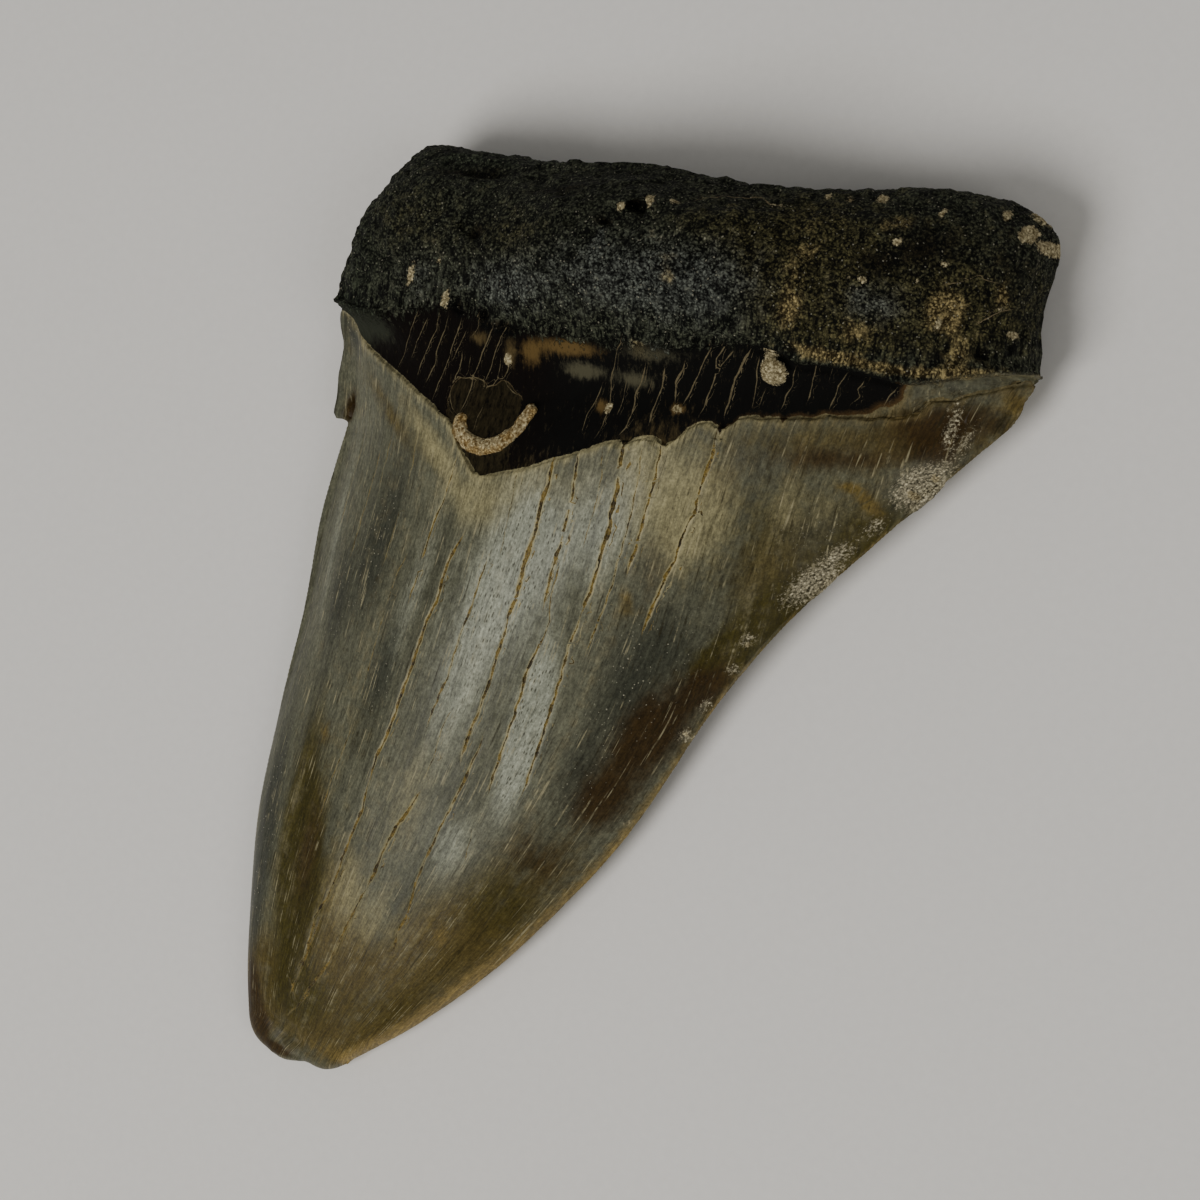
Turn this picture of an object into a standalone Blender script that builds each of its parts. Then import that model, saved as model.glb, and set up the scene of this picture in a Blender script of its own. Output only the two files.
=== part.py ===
"""A fossil megalodon tooth, lying on its flat outer (labial) face.

X runs across the root, Y from the tip to the root, and Z up from the surface that the
tooth lies on, so the rounded inner (lingual) face looks up. The tooth is one solid. Its
skin is a sheet of rows that follow the growth lines: down the inner face from the root's
margin to the tip, and back under the outer face. Small growths and damage are then
shaped in patches with a finer mesh. Lengths are in millimetres until the skin is scaled.
"""

import math

import bmesh
import bpy
import numpy as np
from mathutils import Matrix, Vector, noise

MM = 0.001

# Driving sizes, in millimetres
LOBE_THICKNESS = 15.0       # the root at the middle of a lobe
SWELLING = 11.0             # how far the root's middle stands above its lobes
MARGIN_THICKNESS = 12.5     # the root at its far margin
MARGIN_ROUNDING = 2.5       # how far the far margin's lower side is rounded up from the table
NECK_THICKNESS = 20.0       # the crown where the band ends
TIP_THICKNESS = 3.4
EDGE_LIFT_AT_ROOT = 5.0     # the cutting edges above the table
EDGE_LIFT_AT_TIP = 2.2
ROOT_END_LIFT = 6.0         # the middle of the root's rounded ends above the table
ENAMEL_STEP = 0.5           # how far the enamel stands above the band where it starts
STEP_LENGTH = 0.35          # how far that step takes to rise
ARCH = 1.1                  # how far the outer face bows up between its resting places
LOBE_HOLLOW = 1.8           # how far the outer face is hollow between the root's lobes
BASE_BULGE = 0.8            # how far the root's far side bulges past its margin at the lobes
BASE_HOLLOW = 2.6           # how far the root's far side is hollow between its lobes
SETTLE = 0.25               # what is flattened off the outer face where it rests
ROUGHNESS = 0.55            # lumps of the root
LUMP_SIZE = 7.0

# Rows and columns of the skin
ROOT_ROWS = 13
BAND_ROWS = 6
CROWN_ROWS = 31
COLUMNS = 40
MARGIN_STEPS = 6
TIP_STEPS = 2
DAMAGE_MESH = 1.1           # spacing of the finer mesh, in millimetres
GROWTH_MESH = 0.6

# Sections, as (how boxy, how full): the root is a rounded slab and the crown is a lens
ROOT_ABOVE, ROOT_BELOW = (6.0, 2.3), (7.0, 2.6)
CROWN_ABOVE, CROWN_BELOW = (2.0, 1.02), (3.0, 1.2)

# Outlines seen from above, each from left to right or from the root to the tip
ROOT_MARGIN = [(-34.5, 54.6), (-31.0, 55.4), (-26.3, 55.5), (-17.3, 55.3), (-9.5, 55.5), (-2.0, 56.1),
               (5.0, 55.8), (12.0, 55.4), (18.8, 55.4), (25.4, 55.8), (31.6, 56.6), (38.0, 56.1),
               (44.6, 55.2)]
ROOT_LINE = [(-42.5, 36.5), (-36.0, 36.6), (-28.7, 36.0), (-19.8, 35.5), (-9.5, 34.8), (0.5, 35.2),
             (10.3, 35.5), (19.4, 36.4), (27.8, 35.6), (33.3, 34.8), (39.0, 36.0), (46.5, 37.9)]
ENAMEL_LINE = [(-42.2, 35.3), (-37.7, 32.8), (-31.1, 29.7), (-23.6, 26.1), (-18.6, 22.9), (-16.6, 20.5),
               (-13.9, 18.4), (-10.7, 19.1), (-7.1, 20.5), (-3.0, 22.4), (3.7, 24.6), (8.5, 25.7),
               (11.9, 27.3), (17.5, 29.1), (23.2, 30.2), (29.7, 31.2), (36.6, 33.5), (45.7, 37.0)]
TIP_LINE = [(-44.9, -51.7), (-44.0, -54.0), (-42.4, -55.3), (-39.0, -56.5), (-36.2, -56.2),
            (-33.4, -56.6), (-30.0, -54.9)]
LEFT_ROOT_END = [(-34.5, 54.6), (-36.5, 51.4), (-38.6, 48.2), (-40.6, 44.8), (-41.5, 40.5), (-42.5, 36.5)]
RIGHT_ROOT_END = [(44.6, 55.2), (46.5, 53.4), (46.6, 50.2), (45.9, 45.0), (46.2, 41.0), (46.5, 37.9)]
LEFT_CUTTING_EDGE = [(-42.2, 35.3), (-41.2, 30.5), (-40.3, 26.0), (-40.1, 22.0), (-41.0, 17.7),
                     (-42.3, 11.0), (-42.8, 4.9), (-43.3, -1.3), (-45.5, -14.0), (-47.0, -26.7),
                     (-46.7, -36.0), (-46.0, -45.5), (-44.9, -51.7)]
RIGHT_CUTTING_EDGE = [(45.7, 37.0), (45.2, 35.0), (44.1, 32.6), (39.8, 28.1), (33.5, 21.3), (27.7, 14.9),
                      (21.6, 8.3), (16.7, 1.8), (12.4, -4.7), (5.5, -17.5), (1.3, -24.1), (-4.0, -31.1),
                      (-10.2, -38.4), (-18.3, -46.2), (-23.5, -50.4), (-30.0, -54.9)]

# Heights of the crown's crest on its way from the neck to the tip, as (share of the way, mm)
CREST = [(0.0, NECK_THICKNESS), (0.12, 19.3), (0.3, 17.0), (0.5, 13.6), (0.7, 10.2), (0.86, 7.2),
         (0.95, 5.0), (1.0, TIP_THICKNESS)]

# Swellings and hollows of the root's inner face: x, y, reach across, reach along, height
SWELLINGS = [(3.0, 45.0, 25.0, 12.5, SWELLING), (-29.0, 46.0, 9.0, 8.0, 1.6), (33.0, 46.0, 12.0, 9.0, 2.2),
             (-15.0, 50.0, 6.0, 5.0, -1.0), (1.2, 48.6, 4.5, 3.0, -1.6), (22.0, 51.0, 6.0, 4.0, -0.8)]

# Scars of spalled enamel on the inner face: x, y, half length, half width, depth, turn in degrees
CHIPS = [(33.6, 23.5, 4.8, 2.6, 1.3, 44.0), (22.8, 11.9, 4.8, 2.0, 1.1, 44.0),
         (42.4, 31.9, 2.6, 2.4, 0.9, 48.0), (-37.2, -53.4, 3.0, 1.8, 0.9, -50.0),
         (38.8, 30.8, 1.8, 1.0, 0.5, 75.0)]

# Nutrient holes in the root: x, y, radius, depth
HOLES = [(3.2, 50.4, 1.3, 2.2), (-3.9, 48.2, 0.9, 1.2), (-19.5, 46.5, 1.0, 1.2)]

# The flap of enamel that stands off the left cutting edge and ends in a spur: y, how far it stands off
FLAP = [(36.8, 0.0), (35.0, 1.2), (31.0, 1.7), (27.0, 1.9), (23.5, 2.1), (22.8, 0.0)]
FLAP_WIDTH = 1.8

# The worm tube's route and the gritty spot, on the inner face
WORM_TUBE = [(-18.0, 23.9), (-16.5, 22.1), (-14.2, 21.7), (-11.9, 22.4), (-10.0, 24.2), (-8.7, 26.6)]
WORM_TUBE_WIDTH = 1.75
WORM_TUBE_HEIGHT = 0.6
GRITTY_SPOT = (20.3, 34.5)
GRITTY_SPOT_WIDTH = 3.2
GRITTY_SPOT_HEIGHT = 1.0


def hermite(at, values, shares):
    """Values at shares, on a smooth curve through the values given at the places at."""
    slopes = np.diff(values, axis=0) / np.diff(at)[:, None]
    turns = np.vstack([slopes[:1], (slopes[1:] + slopes[:-1]) / 2, slopes[-1:]])
    span = np.clip(np.searchsorted(at, shares, side="right") - 1, 0, len(at) - 2)
    width = (at[span + 1] - at[span])[:, None]
    t = (shares - at[span])[:, None] / width
    return ((2 * t**3 - 3 * t**2 + 1) * values[span] + (t**3 - 2 * t**2 + t) * width * turns[span]
            + (3 * t**2 - 2 * t**3) * values[span + 1] + (t**3 - t**2) * width * turns[span + 1])


def through(points, shares):
    """Places at the given shares of the length of a smooth curve through points."""
    points = np.array(points, float)
    steps = np.linalg.norm(np.diff(points, axis=0), axis=1)
    return hermite(np.append(0, np.cumsum(steps)) / steps.sum(), points, np.clip(shares, 0, 1))


def ease(t):
    t = np.clip(t, 0.0, 1.0)
    return t * t * (3 - 2 * t)


def patch(start, end, left, right, shares, columns):
    """Rows of places between two cross lines and two side lines."""
    first, last = through(start, columns), through(end, columns)
    rows = []
    for share, a, b in zip(shares, through(left, shares), through(right, shares)):
        row = first * (1 - share) + last * share
        row += np.outer(1 - columns, a - row[0]) + np.outer(columns, b - row[-1])
        rows.append(row)
    return rows


def dome(columns, section):
    """A section's height over its ends, from 0 at both ends to 1 at its crest."""
    boxy, full = section
    return (1 - np.abs(2 * columns - 1) ** boxy) ** (1 / full)


def swell(places):
    """The sum of the root's swellings at each place."""
    x, y = places.T
    return sum(height * np.exp(-((x - cx) / across) ** 2 - ((y - cy) / along) ** 2)
               for cx, cy, across, along, height in SWELLINGS)


def ledge(x):
    """How far the root stands above the band along its lower edge: most on the right."""
    return 0.5 + 1.5 * ease((x - 8) / 22) + 0.5 * np.exp(-((x + 30) / 8) ** 2)


def undercut(x):
    """How far the band runs in under the root: only on the right."""
    return ease((x - 18) / 10) * (1 - 0.6 * ease((x - 38) / 8))


def lump(place, size):
    """Uneven ground of the root: smooth noise at one place."""
    return ROUGHNESS * noise.fractal(Vector(place) / size, 0.6, 2.1, 3)


def column_shares():
    """Columns lie closer together near both sides, where the section turns."""
    even = np.linspace(0.0, 1.0, COLUMNS + 1)
    return 0.55 * (0.5 - 0.5 * np.cos(math.pi * even)) + 0.45 * even


def outer_face(places, heights):
    """The outer face's heights: bowed up between its resting places, and flat where it rests."""
    x, y = places.T
    bow = ARCH * np.clip(1 - ((y - 8) / 30) ** 2, 0, 1)
    hollow = LOBE_HOLLOW * np.exp(-((x - 4) / 15) ** 2) * ease((y - 38) / 12)
    return np.maximum(0.0, heights + bow + hollow - SETTLE)


def root_top(places, columns):
    """The root's inner face without its ledge and lumps."""
    shape = dome(columns, ROOT_ABOVE)
    slab = ROOT_END_LIFT + (LOBE_THICKNESS - ROOT_END_LIFT) * shape
    return slab + swell(places) * np.minimum(1, shape * 1.5)


def root_rows(columns):
    """The root's rows, from its far margin to the lip over the band."""
    shares = np.linspace(0.0, 1.0, ROOT_ROWS)
    shape = dome(columns, ROOT_ABOVE)
    rows = []
    for share, places in zip(shares, patch(ROOT_MARGIN, ROOT_LINE, LEFT_ROOT_END, RIGHT_ROOT_END,
                                           shares, columns)):
        rounding = 1 - ease(share / 0.25)
        top = root_top(places, columns) - 0.25 * rounding * swell(places) * shape
        top -= (LOBE_THICKNESS - MARGIN_THICKNESS) * rounding * shape
        top += ledge(places[:, 0]) * shape * ease((share - 0.7) / 0.3)
        top += np.array([lump((x, y, z), LUMP_SIZE) for (x, y), z in zip(places, top)]) * shape
        bottom = ROOT_END_LIFT * (1 - dome(columns, ROOT_BELOW)) + MARGIN_ROUNDING * (1 - ease(share / 0.2))
        rows.append((places, top, bottom))
    return rows


def band_rows(columns):
    """The band's rows, from the foot of the root's ledge to where the enamel starts."""
    shares = np.linspace(0.0, 1.0, BAND_ROWS)
    neck = EDGE_LIFT_AT_ROOT + (NECK_THICKNESS - EDGE_LIFT_AT_ROOT) * dome(columns, CROWN_ABOVE)
    root_below = ROOT_END_LIFT * (1 - dome(columns, ROOT_BELOW))
    crown_below = EDGE_LIFT_AT_ROOT * (1 - dome(columns, CROWN_BELOW))
    rows = []
    for share, places in zip(shares, patch(ROOT_LINE, ENAMEL_LINE, [ROOT_LINE[0], ENAMEL_LINE[0]],
                                           [ROOT_LINE[-1], ENAMEL_LINE[-1]], shares, columns)):
        places[:, 1] += undercut(places[:, 0]) * dome(columns, ROOT_ABOVE) * (1 - ease(share * 2))
        root = root_top(places, columns)
        rows.append((places, root + (neck - root) * ease(share * 1.1),
                     root_below + (crown_below - root_below) * share))
    return rows


def crown_rows(columns):
    """The enamel's rows, from the step onto it to the tip."""
    shares = np.linspace(0.0, 1.0, CROWN_ROWS) ** 0.93
    at, heights = np.array(CREST).T
    crests = hermite(at, heights[:, None], shares)[:, 0]
    rows = []
    for share, crest, places in zip(shares, crests, patch(ENAMEL_LINE, TIP_LINE, LEFT_CUTTING_EDGE,
                                                          RIGHT_CUTTING_EDGE, shares, columns)):
        edge = EDGE_LIFT_AT_ROOT + (EDGE_LIFT_AT_TIP - EDGE_LIFT_AT_ROOT) * share
        boxy, full = CROWN_ABOVE
        shape = dome(columns, (boxy + 0.8 * share**3, full + 0.5 * share**2))
        top = edge + (crest - edge) * shape
        top += ENAMEL_STEP * np.minimum(1, shape * 3) * (1 - ease(share / 0.5))
        if share == 0:
            places[:, 1] -= STEP_LENGTH
        rows.append((places, top, edge * (1 - dome(columns, CROWN_BELOW))))
    return rows


def join(sheet, near, far):
    """Faces between two rows of the skin."""
    for a, b, c, d in zip(near, near[1:], far[1:], far):
        corners = list(dict.fromkeys((a, d, c, b)))
        if len(corners) > 2:
            sheet.faces.new(corners)


def close(sheet, start, end, steps, shape):
    """Closes an end of the tooth with rows that go down from one face's row to the other's."""
    rows = [start]
    for step in range(1, steps):
        inner = [sheet.verts.new(shape(a.co, b.co, step / steps)) for a, b in zip(start[1:-1], end[1:-1])]
        rows.append([start[0]] + inner + [start[-1]])
    rows.append(end)
    for near, far in zip(rows, rows[1:]):
        join(sheet, far, near)


def far_side(a, b, share):
    """The root's far side bulges at its lobes and is hollow between them."""
    place = a.lerp(b, share)
    bulge = BASE_BULGE - BASE_HOLLOW * math.exp(-((place.x - 4) / 17) ** 2)
    thick = min(1.0, (a - b).length / 8)
    place.y += (bulge * math.sin(math.pi * share) + 0.7 * lump(place, LUMP_SIZE)) * thick
    return place


def blunt_tip(a, b, share):
    """The tip is worn blunt, so it closes in a small rounded facet."""
    place = a.lerp(b, share)
    place.y -= 0.4 * math.sin(math.pi * share)
    return place


def add_skin():
    """The closed skin: both faces, the root's far side and the blunt tip."""
    columns = column_shares()
    sheet = bmesh.new()
    upper, lower = [], []
    for places, top, bottom in root_rows(columns) + band_rows(columns) + crown_rows(columns):
        bottom = outer_face(places, bottom)
        top = np.maximum(top, bottom)
        upper.append([sheet.verts.new((*place, z)) for place, z in zip(places, top)])
        inner = [sheet.verts.new((*place, z)) for place, z in zip(places[1:-1], bottom[1:-1])]
        lower.append([upper[-1][0]] + inner + [upper[-1][-1]])
    for near, far in zip(upper, upper[1:]):
        join(sheet, near, far)
    for near, far in zip(lower, lower[1:]):
        join(sheet, far, near)
    close(sheet, upper[0], lower[0], MARGIN_STEPS, far_side)
    close(sheet, lower[-1], upper[-1], TIP_STEPS, blunt_tip)
    bmesh.ops.remove_doubles(sheet, verts=sheet.verts, dist=0.02)
    bmesh.ops.recalc_face_normals(sheet, faces=sheet.faces)
    return sheet


def distance(place, line):
    """How far a place is from a line of points, seen from above."""
    nearest = math.inf
    for a, b in zip(line, line[1:]):
        run, way = Vector(b) - Vector(a), place.xy - Vector(a)
        share = min(1.0, max(0.0, way.dot(run) / run.length_squared))
        nearest = min(nearest, (way - run * share).length)
    return nearest


def refine(sheet, near, spacing):
    """Makes the inner face's mesh finer where near() is true, down to the spacing."""
    sheet.normal_update()
    edges = [edge for edge in sheet.edges if edge.calc_length() > 1.5 * spacing
             and any(near(v.co) and v.normal.z > -0.1 for v in edge.verts)]
    if edges:
        bmesh.ops.subdivide_edges(sheet, edges=edges, cuts=1, use_grid_fill=True)
        refine(sheet, near, spacing)


def chip_depth(place, cx, cy, length, width, most, turn):
    """How deep one scar is at a place."""
    way = Matrix.Rotation(-math.radians(turn), 2) @ (place.xy - Vector((cx, cy)))
    return most * ease(1.6 * (1 - math.hypot(way.x / length, way.y / width)))


def shape_damage(sheet):
    """Chips along the cutting edges, and the flap on the left one."""
    refine(sheet, lambda place: any(chip_depth(place, *chip) > 0.05 for chip in CHIPS), DAMAGE_MESH)
    refine(sheet, lambda place: place.x < -39.5 and 22.0 < place.y < 28.0, DAMAGE_MESH)
    flap_y, flap_out = np.array(FLAP[::-1]).T
    edge_x, edge_y = np.array(LEFT_CUTTING_EDGE[::-1]).T
    sheet.normal_update()
    for vert in sheet.verts:
        place = vert.co
        if vert.normal.z > 0.1:
            place.z -= max(chip_depth(place, *chip) for chip in CHIPS)
        inwards = place.x - np.interp(place.y, edge_y, edge_x)
        if flap_y[0] < place.y < flap_y[-1] and inwards < FLAP_WIDTH:
            place.x -= np.interp(place.y, flap_y, flap_out) * (1 - max(0.0, inwards) / FLAP_WIDTH)


def shape_growths(sheet):
    """The nutrient holes, and the worm tube and the gritty spot that grew on the tooth."""
    route = [Vector(point) for point in through(WORM_TUBE, np.linspace(0, 1, 12))]
    tube, spot = WORM_TUBE_WIDTH / 2, GRITTY_SPOT_WIDTH / 2
    middles = [(Vector((x, y)), radius) for x, y, radius, _ in HOLES] + [(Vector(GRITTY_SPOT), spot)]
    refine(sheet, lambda place: distance(place, route) < tube + GROWTH_MESH
           or any((place.xy - middle).length < radius + GROWTH_MESH for middle, radius in middles),
           GROWTH_MESH)
    sheet.normal_update()
    for vert in sheet.verts:
        if vert.normal.z < 0.1:
            continue
        place = vert.co
        off_route = distance(place, route) / tube
        off_spot = (place.xy - Vector(GRITTY_SPOT)).length / spot
        rise = WORM_TUBE_HEIGHT * math.sqrt(max(0.0, 1 - off_route**4))
        rise += GRITTY_SPOT_HEIGHT * math.sqrt(max(0.0, 1 - off_spot**2))
        for x, y, radius, depth in HOLES:
            rise -= depth * max(0.0, 1 - ((place.xy - Vector((x, y))).length / radius) ** 2)
        place.z += rise


def fossil():
    """The material: one mean colour for black mineral and grey-olive enamel."""
    material = bpy.data.materials.new("fossil tooth")
    material.use_nodes = True
    shader = material.node_tree.nodes["Principled BSDF"]
    shader.inputs["Base Color"].default_value = (0.13, 0.125, 0.105, 1)
    shader.inputs["Roughness"].default_value = 0.45
    shader.inputs["Metallic"].default_value = 0.0
    return material


for old in list(bpy.data.objects):
    bpy.data.objects.remove(old, do_unlink=True)

skin = add_skin()
shape_damage(skin)
shape_growths(skin)

# The origin is on the table, below the middle of the tooth's box
low, high = (Vector(pick(vert.co[axis] for vert in skin.verts) for axis in range(3)) for pick in (min, max))
to_middle = Matrix.Translation((-(low.x + high.x) / 2, -(low.y + high.y) / 2, 0))
skin.transform(Matrix.Scale(MM, 4) @ to_middle)

mesh = bpy.data.meshes.new("tooth")
skin.to_mesh(mesh)
skin.free()
mesh.shade_smooth()
mesh.materials.append(fossil())
tooth = bpy.data.objects.new("tooth", mesh)
bpy.context.collection.objects.link(tooth)
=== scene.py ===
"""A fossil megalodon tooth, lying on its flat outer face on a pale table.

The camera looks down at the rounded inner face. Places are in millimetres until they are put
into a mesh: X runs across the root, Y from the tip to the root, and Z up from the table.
"""

import math

import bpy
import numpy as np
from mathutils import Matrix, Vector, noise


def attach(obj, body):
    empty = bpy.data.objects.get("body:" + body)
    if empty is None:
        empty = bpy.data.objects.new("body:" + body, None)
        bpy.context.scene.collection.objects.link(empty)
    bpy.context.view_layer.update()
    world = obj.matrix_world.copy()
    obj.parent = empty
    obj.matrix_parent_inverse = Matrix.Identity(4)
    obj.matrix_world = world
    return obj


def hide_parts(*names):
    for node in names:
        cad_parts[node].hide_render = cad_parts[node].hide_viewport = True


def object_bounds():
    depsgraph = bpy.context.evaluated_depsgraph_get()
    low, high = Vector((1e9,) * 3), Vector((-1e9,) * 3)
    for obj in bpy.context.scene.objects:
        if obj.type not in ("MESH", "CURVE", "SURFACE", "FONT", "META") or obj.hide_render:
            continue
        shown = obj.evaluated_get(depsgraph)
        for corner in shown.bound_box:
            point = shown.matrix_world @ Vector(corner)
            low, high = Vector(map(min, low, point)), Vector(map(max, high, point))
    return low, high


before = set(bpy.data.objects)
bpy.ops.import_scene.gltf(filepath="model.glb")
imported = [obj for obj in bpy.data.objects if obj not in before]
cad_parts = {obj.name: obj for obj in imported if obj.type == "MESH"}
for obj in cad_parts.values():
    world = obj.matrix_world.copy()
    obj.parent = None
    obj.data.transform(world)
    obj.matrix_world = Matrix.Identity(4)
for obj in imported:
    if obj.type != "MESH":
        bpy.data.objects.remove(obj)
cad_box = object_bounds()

# The camera
# A long lens over the right side of the tooth, 26 degrees from straight above. The picture is
# turned so that the root's margin drops a little to the right.
MM = 0.001
LENS, SENSOR = 100.0, 36.0
LOOKED_AT = Vector((-0.91, 6.08, 10.0))
CAMERA_AWAY = 383.0
CAMERA_LEAN, CAMERA_TURN = math.radians(26.0), math.radians(8.5)

turn = Matrix.Rotation(CAMERA_TURN, 3, "Z")
backwards = turn @ Vector((math.sin(CAMERA_LEAN), 0.0, math.cos(CAMERA_LEAN)))
upwards = turn @ Vector((0.0, 1.0, 0.0))
rightwards = upwards.cross(backwards)
camera = bpy.data.objects.new("camera", bpy.data.cameras.new("camera"))
bpy.context.collection.objects.link(camera)
camera.data.lens, camera.data.sensor_width = LENS, SENSOR
camera.data.clip_start, camera.data.clip_end = 0.01, 20.0
camera.matrix_world = (Matrix.Translation((LOOKED_AT + backwards * CAMERA_AWAY) * MM)
                       @ Matrix((rightwards, upwards, backwards)).transposed().to_4x4())
bpy.context.scene.camera = camera

# The table
# A sheet of matt off-white card, wide enough for every view.
TABLE_SIZE, TABLE_TOP = 6.0, -0.02 * MM


def linear(code):
    """A colour given as sRGB hex, in linear light."""
    parts = [int(code[at:at + 2], 16) / 255 for at in (0, 2, 4)]
    return (*(part / 12.92 if part <= 0.04045 else ((part + 0.055) / 1.055) ** 2.4
              for part in parts), 1.0)


def add(kind, inputs, **settings):
    """Adds a node to the tree in hand. An input is a value, a colour, an output, or a node."""
    new = tree.nodes.new("ShaderNode" + kind)
    for name, value in settings.items():
        setattr(new, name, value)
    for name, value in inputs.items():
        if isinstance(value, str):
            value = linear(value)
        if isinstance(value, bpy.types.Node):
            value = next(output for output in value.outputs if output.enabled)
        if isinstance(value, bpy.types.NodeSocket):
            tree.links.new(value, new.inputs[name])
        else:
            new.inputs[name].default_value = value
    return new


def blank_material(name):
    """A new material, and its node tree with nothing in it."""
    material = bpy.data.materials.new(name)
    material.use_nodes = True
    material.node_tree.nodes.clear()
    return material, material.node_tree


bpy.ops.object.select_all(action="DESELECT")
bpy.ops.mesh.primitive_plane_add(size=TABLE_SIZE, location=(0.0, 0.0, TABLE_TOP))
table = bpy.context.object
table.name = "table"
bpy.ops.object.transform_apply(location=True)
card, tree = blank_material("matt card")
place = add("TexCoord", {})
fibres = add("TexNoise", {"Vector": place.outputs["Object"], "Scale": 900.0, "Detail": 3.0})
tint = add("Mix", {0: fibres, 6: "ECEAE6", 7: "F4F2EE"}, data_type="RGBA")
press = add("Bump", {"Height": fibres, "Distance": 0.00005, "Strength": 0.4})
shader = add("BsdfPrincipled", {"Base Color": tint, "Roughness": 0.9, "Normal": press})
add("OutputMaterial", {"Surface": shader})
table.data.materials.append(card)

# The lights
# A wide soft window low beyond the tip, a weaker one on the right, and a dim pale room. Each
# soft box is a name, a place and a width in metres, and its power in watts.
SOFT_BOXES = [("window", (-0.30, -0.42, 0.86), 0.60, 5.9), ("fill", (0.80, -0.10, 0.70), 0.5, 1.6)]
for name, place, size, power in SOFT_BOXES:
    light = bpy.data.lights.new(name, "AREA")
    light.shape, light.size, light.energy = "DISK", size, power
    light.color = linear("FFFCF8")[:3]
    lamp = bpy.data.objects.new(name, light)
    bpy.context.collection.objects.link(lamp)
    lamp.matrix_world = (Matrix.Translation(place)
                         @ Vector(place).to_track_quat("Z", "Y").to_matrix().to_4x4())
world = bpy.data.worlds.new("pale room")
bpy.context.scene.world = world
world.use_nodes = True
world.node_tree.nodes["Background"].inputs["Color"].default_value = linear("E8E7E3")
world.node_tree.nodes["Background"].inputs["Strength"].default_value = 0.26

# The tooth
# One fossil: a root of porous mineral-stained bone, a thin dark band of bare dentine below it,
# and a crown of glossy enamel with worn serrated edges. Found as it is, with cracks, chips,
# and the crust of a worm tube. Its mesh starts as a copy of the solid.
ENAMEL_LINE = [
    (-42.1, 35.3), (-37.6, 32.8), (-31, 29.7), (-23.5, 26.1), (-18.5, 22.9), (-16.5, 20.5),
    (-13.8, 18.4), (-10.6, 19.1), (-7, 20.5), (-2.9, 22.4), (3.8, 24.6), (8.6, 25.7), (12, 27.3),
    (17.6, 29.1), (23.3, 30.2), (29.8, 31.2), (36.7, 33.5), (45.8, 37)]
ROOT_LINE = [(-42.4, 36.5), (-35.9, 36.6), (-28.6, 36), (-19.7, 35.5), (-9.4, 34.8), (0.6, 35.2),
             (10.4, 35.5), (19.5, 36.4), (27.9, 35.6), (33.4, 34.8), (39.1, 36), (46.6, 37.9)]
LEFT_EDGE = [
    (-42.1, 35.3), (-41.1, 30.5), (-40.2, 26), (-40, 22), (-40.9, 17.7), (-42.2, 11), (-42.7, 4.9),
    (-43.2, -1.3), (-45.4, -14), (-46.9, -26.7), (-46.6, -36), (-45.9, -45.5), (-44.8, -51.7)]
RIGHT_EDGE = [
    (45.8, 37), (45.3, 35), (44.2, 32.6), (39.9, 28.1), (33.6, 21.3), (27.8, 14.9), (21.7, 8.3),
    (16.8, 1.8), (12.5, -4.7), (5.6, -17.5), (1.4, -24.1), (-3.9, -31.1), (-10.1, -38.4),
    (-18.2, -46.2), (-23.4, -50.4), (-29.9, -54.9)]
TIP_EDGE = [(-44.8, -51.7), (-43.9, -54), (-42.3, -55.3), (-38.9, -56.5), (-36.1, -56.2),
            (-33.3, -56.6), (-29.9, -54.9)]

# The real lines are ragged: the enamel's top edge breaks into rounded planks, and the root's
# lower edge hangs over the band in crumbling lobes
RAGGED_ENAMEL = [
    (-42.1, 35.3), (-40.8, 34.9), (-38.2, 32.6), (-35.8, 31.4), (-33.2, 30.3), (-30.8, 29.3),
    (-28.6, 28.4), (-26.3, 27.3), (-24.4, 26.4), (-22.8, 25.8), (-21.5, 24.9), (-20, 24.4),
    (-18.9, 23.4), (-18.1, 22.3), (-16.9, 20.8), (-15.7, 19.8), (-14.7, 18.8), (-13.7, 18.5),
    (-12.3, 18.9), (-10.7, 19.4), (-9.2, 19.8), (-7.2, 20.4), (-4.4, 21.7), (-2.6, 22.3),
    (-1.4, 22.8), (-0.3, 23.2), (0.7, 23.8), (2.3, 24.5), (3.8, 24.8), (4.5, 24), (4.9, 24.8),
    (5.3, 25.2), (6.4, 25.6), (7.5, 25.8), (8.5, 25.4), (8.9, 24.6), (9.3, 25.2), (10.1, 25.6),
    (10.8, 26.4), (11.3, 27.2), (12, 27.7), (12.8, 28.1), (13.9, 28.2), (14.7, 27.8), (15.1, 26.8),
    (15.4, 27.5), (15.8, 28), (16.4, 28.3), (16.9, 29.1), (17.5, 29.3), (18.8, 29.6), (19.4, 29.3),
    (19.8, 29.6), (20.5, 29.6), (21, 29.8), (21.7, 29), (22, 29.7), (23, 30.1), (24.7, 30.1),
    (25.7, 30.7), (27.2, 30.7), (28.7, 30.9), (30.6, 30.9), (31.6, 31.5), (33, 31.4), (34.2, 31.9),
    (35.3, 32.3), (35.6, 33.3), (36.2, 33.8), (37.2, 34.2), (38.1, 34), (39.2, 34.7), (40.6, 35.3),
    (41.9, 35.7), (43.2, 36.3), (44.3, 36.7), (45.8, 37)]
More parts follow.
